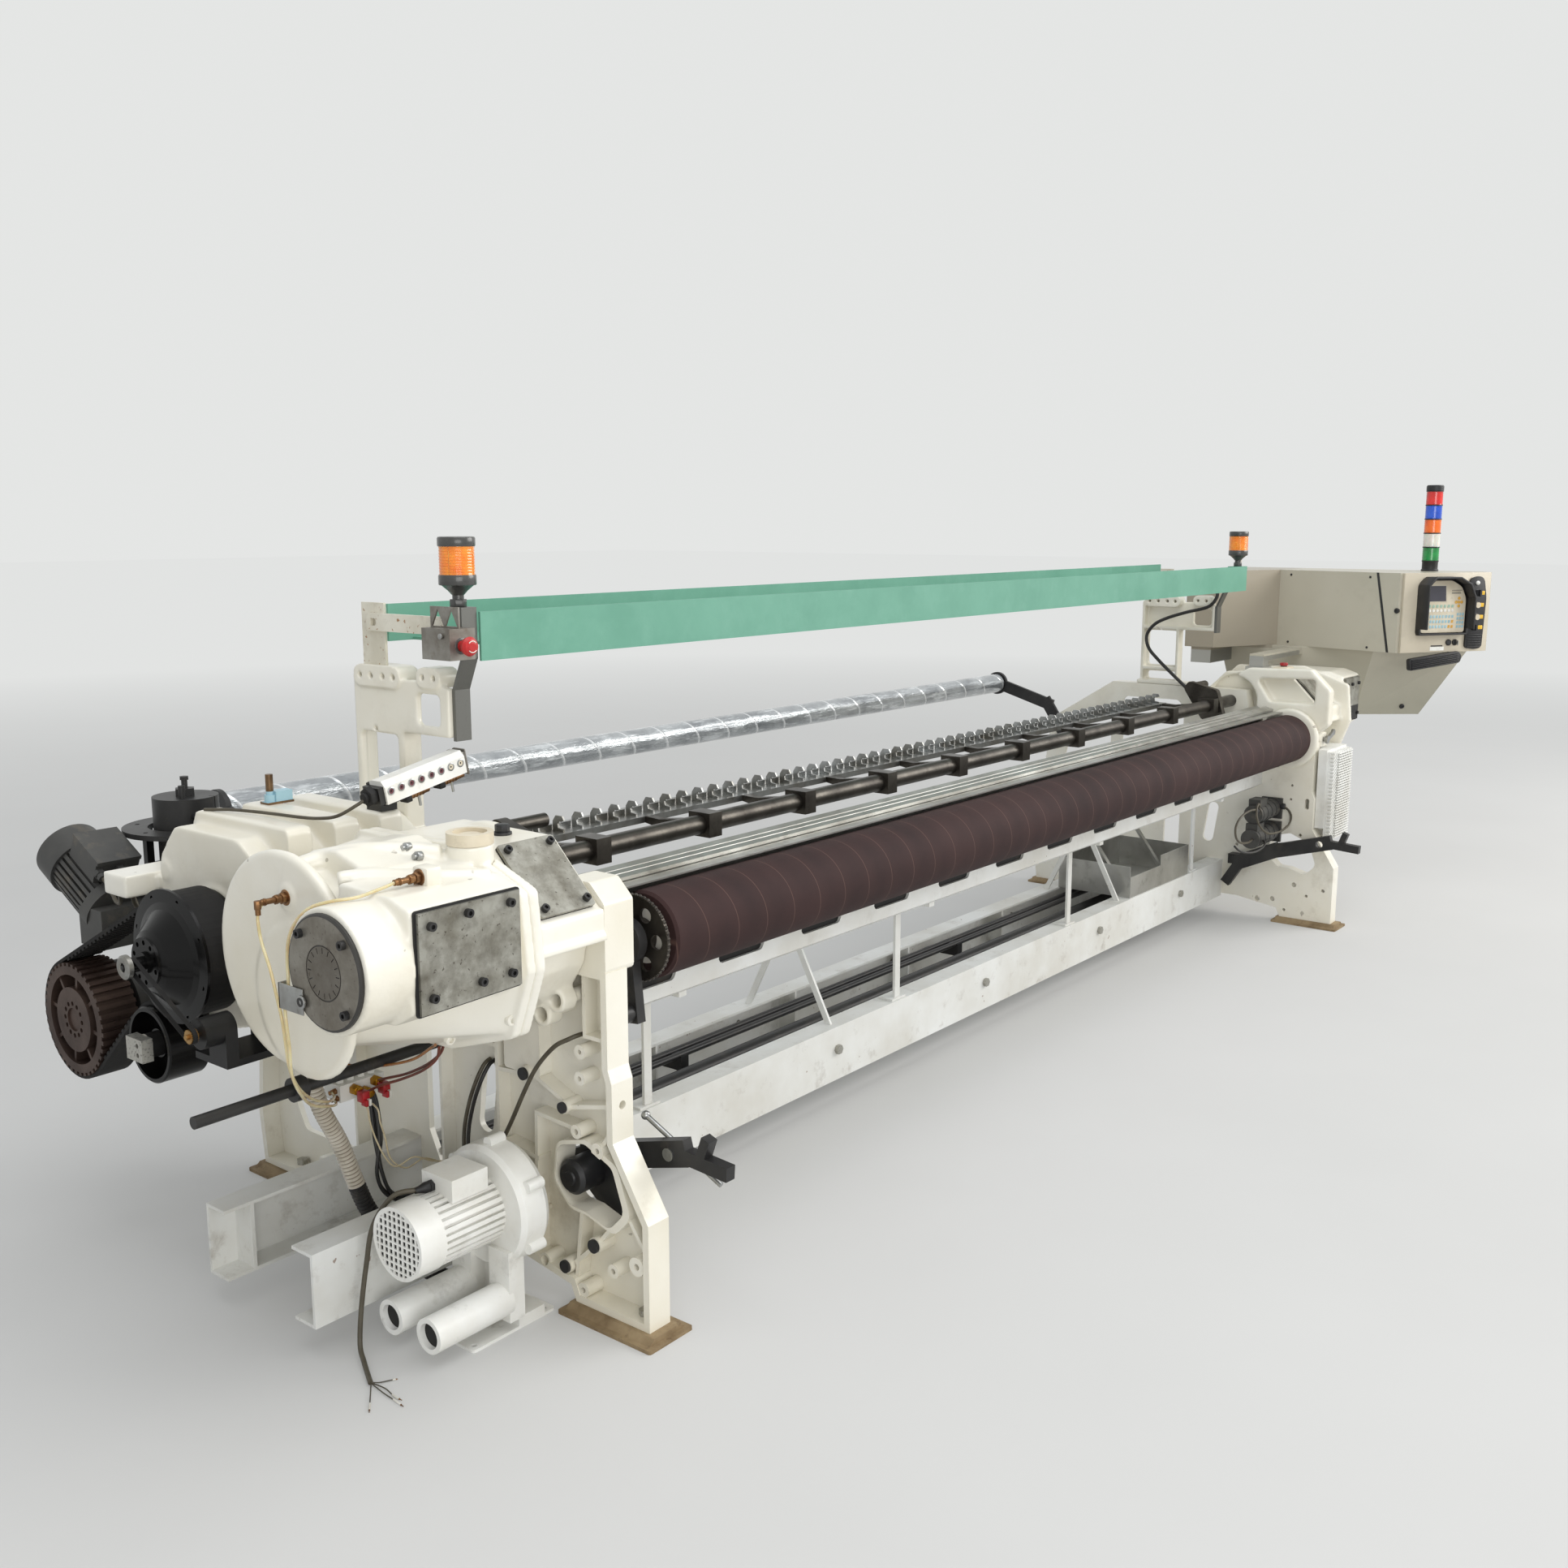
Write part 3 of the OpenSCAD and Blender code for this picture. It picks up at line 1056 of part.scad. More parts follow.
// Electronics housing below the right gear case with a diagonally ribbed cover
module electronics_cover() color("whitesmoke") {
    translate([right_x + 0.05, -600, elec_z]) cube([elec_w, 95, elec_h]);
    translate([right_x - 40, -600, elec_z + 52]) cube([41, 33, elec_h - 52]);
    translate([right_x - 32, -600, elec_z + 8]) intersection() {
        translate([0, -26, 0]) cube([elec_w + 24, 26.5, elec_h - 16]);
        union() {
            translate([0, -10, 0]) cube([elec_w + 24, 11, elec_h - 16]);
            for (i = [-8:24]) along_y(-26, 17) bar([-10, i * 15], [230, i * 15 + 130], 6);
        }
    }
}

module servo(x, y, z, l) {
    rod_x(x, y, z, 38, l);
    translate([x + l - 14, y - 42, z - 42]) cube([14, 84, 84]);
    translate([x + 10, y - 24, z + 30]) cube([70, 48, 30]);
}
module servo_motors() color([0.3, 0.3, 0.31]) {
    servo(inner_r - 210, -400, 470, 210 - 0.05);
    servo(inner_r - 230, -400, 374, 230 - 0.05);
}

// Control cabinet: plan outline and its tapering lower part, seen from the right side frame
cab_pts = [[460, -690], [835, -950], [cab_out, -880], [cab_out, 150], [260, 150], [260, 20], [610, -130]];
cab_front = 14;
taper_h = 290;
module cabinet() color([0.72, 0.71, 0.64]) translate([right_x, 0, 0]) {
    difference() {
        translate([0, 0, cab_z]) linear_extrude(cab_h) polygon(cab_pts);
        translate([0, 0, cab_z + 4]) linear_extrude(cab_h - 8) polygon(inset(cab_pts, 4));
        // Seam between the body and the panel head
        translate([555, -700, cab_z - 1]) rotate(60) cube([8, 3, cab_h + 2]);
    }
    hull() {
        translate([0, 0, cab_z - 4]) linear_extrude(4) polygon([[595, -560], [815, -880], [cab_out - 4, -840],
            [cab_out - 4, 100], [535, 100]]);
        translate([0, 0, cab_z - taper_h]) linear_extrude(4) polygon([[635, -480], [815, -700], [cab_out - 40, -660],
            [cab_out - 40, 40], [585, 40]]);
    }
    // Column that carries the cabinet on the right gear case
    translate([105, -270, 1008.05]) cube([80, 80, 14]);
    translate([120, -260, 1020]) cube([60, 60, 40]);
    translate([120, -260, 1046]) cube([505, 60, 28]);
    translate([415, -20, cab_z + cab_h]) cylinder(h = 12, r = 12);
    translate([415, -20, cab_z + cab_h + 30]) rotate([90, 0, 30]) rotate_extrude() translate([18, 0])
        circle(5, $fn = 16);
    // Heat sink under the left wall
    for (i = [0:sink_n - 1]) translate([285 + i * 240 / sink_n, 40, cab_z - 70]) cube([4, 90, 70]);
    translate([285, 84, cab_z - 70]) cube([236, 46, 8]);
}

// Panel frame: origin at the middle of the slanted face, its own Z pointing out
module on_panel() translate([right_x + 647.5, -820, cab_z + cab_h / 2]) rotate([0, 0, -34.735]) rotate([90, 0, 0])
    translate([0, 0, 0.3]) children();
module control_panel() {
    color([0.72, 0.71, 0.64]) on_panel() translate([-216, -165, 0]) linear_extrude(cab_front)
        difference() {
            square([432, 330]);
            for (v = [80, 30, -20]) translate([356, 165 + v]) circle(10 + fit);
        }
    color([0.1, 0.1, 0.11]) on_panel() translate([0, 0, cab_front]) {
        difference() {
            linear_extrude(70) polygon(rounded([[-150, -90], [90, -90], [90, 150], [-150, 150]], 24));
            translate([0, 0, 6]) linear_extrude(80) polygon(rounded([[-142, -98], [82, -98], [82, 142],
                [-142, 142]], 20));
        }
        linear_extrude(8) difference() {
            polygon(rounded([[98, -150], [180, -150], [190, 140], [150, 150], [98, 100]], 14));
            for (v = [80, 30, -20]) translate([140, v]) circle(14 + gap);
        }
        // Ribbed rubber pad
        difference() {
            translate([-170, -240, -12]) linear_extrude(30) polygon(rounded([[0, 0], [250, 30], [250, 80],
                [0, 50]], 10));
            for (i = [0:4]) translate([-180, -234 + i * 11, 14]) rotate(6.8) cube([290, 4, 10]);
        }
        for (u = [20, 52]) translate([u, -125, 0]) cylinder(h = 16, r = 11);
    }
    color("beige") on_panel() translate([-136, -84, cab_front + 6.05]) {
        difference() {
            linear_extrude(14) polygon(rounded([[0, 0], [210, 0], [210, 218], [0, 218]], 18));
            translate([24, 128, 10]) cube([96, 70, 10]);
        }
        for (i = [0:7], j = [0:3]) translate([18 + i * 19, 16 + j * 22, 13]) cube([14, 12, 4]);
        for (i = [0:2], j = [0:3]) translate([172 + i * 12, 18 + j * 20, 13]) cube([9, 10, 4]);
        for (i = [0:2], j = [0:2]) translate([140 + i * 20, 120 + j * 20, 13]) cube([12, 12, 4]);
    }
}
// Knob or button whose stem runs in a bore of the panel
cap_z = cab_front + 12;
module panel_stem(v, r) on_panel() translate([140, v, 0]) {
    translate([0, 0, 6]) cylinder(h = cap_z - 4, r = 10);
    translate([0, 0, cap_z]) cylinder(h = 12, r = r);
}
module selector_knob() color("black") {
    panel_stem(80, 13);
    on_panel() translate([140 - 4, 80 - 14, cap_z + 11]) cube([8, 28, 12]);
}
module run_button() color("whitesmoke") panel_stem(30, 12);
module jog_button() color("beige") panel_stem(-20, 12);

tower_x = right_x + 815;
tower_y = -704;
tower_l = 59;
module signal_tower() {
    z0 = cab_z + cab_h + 0.05;
    color([0.1, 0.1, 0.1]) {
        translate([tower_x, tower_y, z0]) cylinder(h = 45, r = 35);
        translate([tower_x, tower_y, z0 + 45 + 5 * tower_l]) cylinder(h = 24, r = 35);
    }
    cols = ["green", "whitesmoke", "orange", "blue", "red"];
    for (i = [0:4]) color(cols[i]) translate([tower_x, tower_y, z0 + 45 + i * tower_l]) {
        cylinder(h = tower_l - 3, r = 34);
        translate([0, 0, tower_l - 3]) cylinder(h = 3, r = 35);
    }
}

// Suction blower on its base plate beside the left side frame
blow_y = -334;
blow_z = 250;
blow_x = -2340;
module blower() color("whitesmoke") {
    difference() {
        translate([blow_x - 60, blow_y - 80, 0]) rounded_box([220, 200, 6], 8);
        for (x = [blow_x - 45, blow_x + 140], y = [blow_y - 64, blow_y + 104]) rod_z(x, y, -1, 6, 8);
    }
    translate([blow_x + 60, blow_y - 80, 5.9]) cube([70, 160, 20]);
    along_x(blow_x + 66, 8) polygon([[blow_y - 70, 20], [blow_y + 70, 20], [blow_y + 40, 160],
        [blow_y - 40, 160]]);
    // Volute
    turned_x(blow_x + 40, blow_y, blow_z, [[0, 0], [118, 0], [127, 10], [127, 60], [118, 74], [60, 80], [0, 80]]);
    for (a = [30:60:330]) rod_x(blow_x + 60, blow_y + 130 * cos(a), blow_z + 130 * sin(a), 12, 40);
    // Finned motor, grille and terminal box
    along_x(blow_x - 110, 150) difference() {
        translate([blow_y, blow_z]) circle(72, $fn = 72);
        for (i = [0:29]) translate([blow_y, blow_z]) rotate(i * 12) translate([62, -3]) square([20, 6]);
    }
    difference() {
        rod_x(blow_x - 170, blow_y, blow_z, 74, 62);
        rod_x(blow_x - 171, blow_y, blow_z, 66, 5);
    }
    for (i = [-4:4]) {
        along_x(blow_x - 170, 3) intersection() {
            translate([blow_y, blow_z]) circle(66);
            translate([blow_y - 66, blow_z + i * 14 - 2]) square([132, 4]);
        }
        along_x(blow_x - 170, 3) intersection() {
            translate([blow_y, blow_z]) circle(66);
            translate([blow_y + i * 14 - 2, blow_z - 66]) square([4, 132]);
        }
    }
    translate([blow_x - 70, blow_y - 46, blow_z + 60]) cube([90, 92, 46]);
    // Silencers with open ports below the motor
    for (y = [blow_y - 58, blow_y + 58]) difference() {
        union() {
            rod_x(blow_x - 150, y, 70, 36, 190);
            translate([blow_x + 30, y - 30, 28]) cube([40, 60, 150]);
        }
        rod_x(blow_x - 151, y, 70, 26, 170);
    }
}

// Sweep of a round section along a list of points, smoothed by a curve through them
function curve_pt(a, b, c, d, t) = 0.5 * (2 * b + (c - a) * t + (2 * a - 5 * b + 4 * c - d) * t * t
    + (3 * b - a - 3 * c + d) * t * t * t);
function smooth(p, m) =
    let (k = len(p))
    concat([for (i = [0:k - 2], j = [0:m - 1])
        curve_pt(p[max(i - 1, 0)], p[i], p[i + 1], p[min(i + 2, k - 1)], j / m)], [p[k - 1]]);
module cord(pts, r, m = 4, n = 8) {
    q = smooth(pts, m);
    k = len(q);
    // Side vectors at right angles to the path
    dirs = [for (i = [0:k - 1]) unit(q[min(i + 1, k - 1)] - q[max(i - 1, 0)])];
    ref = [0.31, 0.2, 0.93];
    ring = [for (i = [0:k - 1]) let (s = unit(cross(dirs[i], abs(dirs[i] * ref) > 0.9 ? [1, 0, 0] : ref)),
        t = cross(dirs[i], s)) for (j = [0:n - 1]) q[i] + r * (cos(j * 360 / n) * s + sin(j * 360 / n) * t)];
    polyhedron(ring, concat([[for (j = [n - 1:-1:0]) j]], [[for (j = [0:n - 1]) (k - 1) * n + j]],
        [for (i = [0:k - 2], j = [0:n - 1]) [i * n + j, i * n + (j + 1) % n, (i + 1) * n + (j + 1) % n,
            (i + 1) * n + j]]));
}

hose_pts = [[-2478, -30, 596], [-2477, -30, 520], [-2462, -34, 440], [-2424, -40, 350], [-2402, -50, 270],
    [-2376, -60, 190], [-2330, -80, 110], [-2296, -126, 52], [-2290, -170, 45], [-2290, -208, 44],
    [-2290, -241.5, 44]];
module suction_hose() color("gray") cord(hose_pts, 18.5, 4, 12);
wire_pts = [[-2410.3, -318, 331], [-2440, -312, 331], [-2476, -282, 322], [-2502, -250, 262],
    [-2514, -238, 180], [-2528, -234, 90], [-2542, -244, 24], [-2560, -280, 8], [-2594, -346, 5.6]];
module blower_cable() color("dimgray") cord(wire_pts, 5, 6, 8);

left_side_frame();
right_side_frame();
foot_pads();
frame_plugs();
front_channel();
rear_channel();
screws();
base_tubes();
cross_beam();
beam_stands();
cloth_tray();
left_gear_case();
left_gear_cover();
cover_plates();
oil_cap();
rear_gear_case();
brake_drum();
motor_pulley();
main_motor();
drive_belt();
idler_roller();
drive_bracket();
encoder_belt();
encoder_wheel();
let_off_motor();
coupling_stand();
coupling_drum();
position_sensor();
carrying_bar();
oil_manifold();
take_up_roller();
take_up_sprocket();
roller_arm();
guide_rails();
sley_shaft();
sley_beam();
back_rest_tube();
back_rest_brackets();
cloth_arms();
cloth_latch();
post_castings();
top_beam();
beam_straps();
stop_box();
stop_button();
beacons();
socket_box();
right_gear_case();
gear_lever();
electronics_cover();
servo_motors();
cabinet();
control_panel();
selector_knob();
run_button();
jog_button();
signal_tower();
blower();
suction_hose();
blower_cable();
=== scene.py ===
# Looks of the power loom: paint, steel, rubber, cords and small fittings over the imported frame
import math
import bmesh
import bpy
from mathutils import Matrix, Vector


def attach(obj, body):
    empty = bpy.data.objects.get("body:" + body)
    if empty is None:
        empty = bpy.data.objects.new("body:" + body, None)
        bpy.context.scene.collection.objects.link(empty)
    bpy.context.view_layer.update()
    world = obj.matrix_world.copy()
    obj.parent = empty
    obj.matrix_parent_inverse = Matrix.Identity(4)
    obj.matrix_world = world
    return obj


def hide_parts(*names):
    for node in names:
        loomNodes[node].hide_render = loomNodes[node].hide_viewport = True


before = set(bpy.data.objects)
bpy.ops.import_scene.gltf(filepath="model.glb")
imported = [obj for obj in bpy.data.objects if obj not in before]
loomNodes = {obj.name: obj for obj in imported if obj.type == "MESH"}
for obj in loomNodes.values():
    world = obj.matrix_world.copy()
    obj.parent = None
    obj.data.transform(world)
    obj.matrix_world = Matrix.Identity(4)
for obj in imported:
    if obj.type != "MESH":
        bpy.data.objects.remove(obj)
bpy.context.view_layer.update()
print("frame loaded with", len(loomNodes), "nodes")


class Wire:
    # one socket of a finish, so that sums of masks read as plain sums
    def __init__(self, tree, socket=None):
        self.tree = tree
        self.socket = socket

    def node(self, kind, settings=None, sockets=None, out=0):
        made = self.tree.nodes.new("ShaderNode" + kind)
        for name, value in (settings or {}).items():
            if name == "stops":
                while len(made.color_ramp.elements) < len(value):
                    made.color_ramp.elements.new(0.5)
                for stop, (place, colour) in zip(made.color_ramp.elements, value):
                    stop.position = place
                    stop.color = (*colour, 1)
            else:
                setattr(made, name, value)
        for name, value in (sockets or {}).items():
            if isinstance(value, Wire):
                self.tree.links.new(value.socket, made.inputs[name])
            else:
                made.inputs[name].default_value = value
        return Wire(self.tree, made.outputs[out])

    def maths(self, operation, *values):
        return self.node("Math", {"operation": operation}, dict(enumerate(values)))

    def __add__(self, other):
        return self.maths("ADD", self, other)

    def __sub__(self, other):
        return self.maths("SUBTRACT", self, other)

    def __rsub__(self, other):
        return self.maths("SUBTRACT", other, self)

    def __mul__(self, other):
        return self.maths("MULTIPLY", self, other)

    def __truediv__(self, other):
        return self.maths("DIVIDE", self, other)

    def __gt__(self, other):
        return self.maths("GREATER_THAN", self, other)

    def __lt__(self, other):
        return self.maths("LESS_THAN", self, other)

    def ramp(self, low, high):
        # 0 below low, 1 above high
        return self.node("MapRange", {"clamp": True}, {0: self, 1: low, 2: high})

    def upToOne(self):
        return self.maths("MINIMUM", self, 1.0)

    def noise(self, scale, detail=3.0, rough=0.5, stretch=(1, 1, 1), shift=0.0):
        place = self.node("Mapping", None, {"Vector": self, "Scale": stretch, "Location": (shift, shift, shift)})
        return self.node("TexNoise", None, {"Vector": place, "Scale": scale, "Detail": detail, "Roughness": rough})

    def tint(self, mask, under, over):
        # under where mask is 0, over where it is 1
        return self.node("Mix", {"data_type": "RGBA"}, {0: mask, 6: colourValue(under), 7: colourValue(over)}, 2)

    def axes(self):
        return [self.node("SeparateXYZ", None, {0: self}, i) for i in range(3)]


def colourValue(c):
    return c if isinstance(c, Wire) else (*c, 1)


def srgb(*c):
    # a colour as the eye names it, 0 to 255, turned into light
    return tuple((v / 255 / 12.92) if v < 11 else ((v / 255 + 0.055) / 1.055) ** 2.4 for v in c)


def mm(*p):
    # millimetres into metres
    return Vector(p) / 1000


finishes = {}


def makeFinish(name, look, pattern=None):
    material = bpy.data.materials.new(name)
    material.use_nodes = True
    tree = material.node_tree
    shader = tree.nodes["Principled BSDF"]
    start = Wire(tree)
    spot = start.node("TexCoord", None, None, 3)
    x, y, z = spot.axes()
    cloud = spot.noise(look.get("patch", 3), 4, 0.6)
    fine = spot.noise(look.get("grain", 160), 2, 0.6, shift=3.1)
    colour = start.tint(cloud.ramp(0.35, 0.68), look["colour"], look["second"])
    rough = cloud * look.get("roughVary", 0.12) + (look["rough"] - look.get("roughVary", 0.12) / 2)
    dirt = spot.noise(look.get("dirtScale", 9), 6, 0.68, shift=7.7).ramp(*look.get("dirtRange", (0.56, 0.74)))
    amount = look.get("dirt", 0.3)
    if look.get("low"):
        # more dirt towards the floor
        amount = (1 - z.ramp(0.0, look["low"])) * look.get("lowDirt", 0.6) + amount
    colour = start.tint((dirt * amount).upToOne(), colour, look.get("dirtColour", srgb(92, 82, 66)))
    if look.get("specks"):
        grains = spot.noise(look.get("speckScale", 70), 2, 0.5, shift=1.3)
        speck = grains.ramp(*look.get("speckRange", (0.66, 0.72))) * look["specks"]
        colour = start.tint(speck, colour, look.get("speckColour", srgb(60, 50, 40)))
        rough = rough + speck * 0.2
    height = fine * 0.5 + cloud * 0.4
    if look.get("edge"):
        # paint worn thin where a rounded normal leaves the flat one
        soft = start.node("Bevel", {"samples": 4}, {"Radius": look["edgeWidth"]})
        flat = start.node("NewGeometry", None, None, 1)
        near = start.node("VectorMath", {"operation": "DOT_PRODUCT"}, {0: soft, 1: flat}, 1)
        worn = (1 - near).ramp(0.02, 0.16) * fine.ramp(0.4, 0.62) * look["edge"]
        colour = start.tint(worn, colour, look["edgeColour"])
    extra = {"start": start, "spot": spot, "x": x, "y": y, "z": z, "fine": fine, "colour": colour,
             "rough": rough, "height": height}
    if pattern:
        extra.update(pattern(extra))
    bump = start.node("Bump", None, {"Strength": look.get("relief", 0.12), "Distance": look.get("depth", 0.002),
                                     "Height": extra["height"]})
    tree.links.new(extra["colour"].socket, shader.inputs["Base Color"])
    tree.links.new(extra["rough"].maths("MAXIMUM", extra["rough"], 0.04).socket, shader.inputs["Roughness"])
    tree.links.new(bump.socket, shader.inputs["Normal"])
    if "metal" in extra:
        tree.links.new(extra["metal"].socket, shader.inputs["Metallic"])
    else:
        shader.inputs["Metallic"].default_value = look.get("metal", 0.0)
    for socket, key in (("Coat Weight", "coat"), ("Coat Roughness", "coatRough"), ("Specular IOR Level", "gloss"),
                        ("Subsurface Weight", "wax")):
        if key in look:
            shader.inputs[socket].default_value = look[key]
    finishes[name] = material
    return material


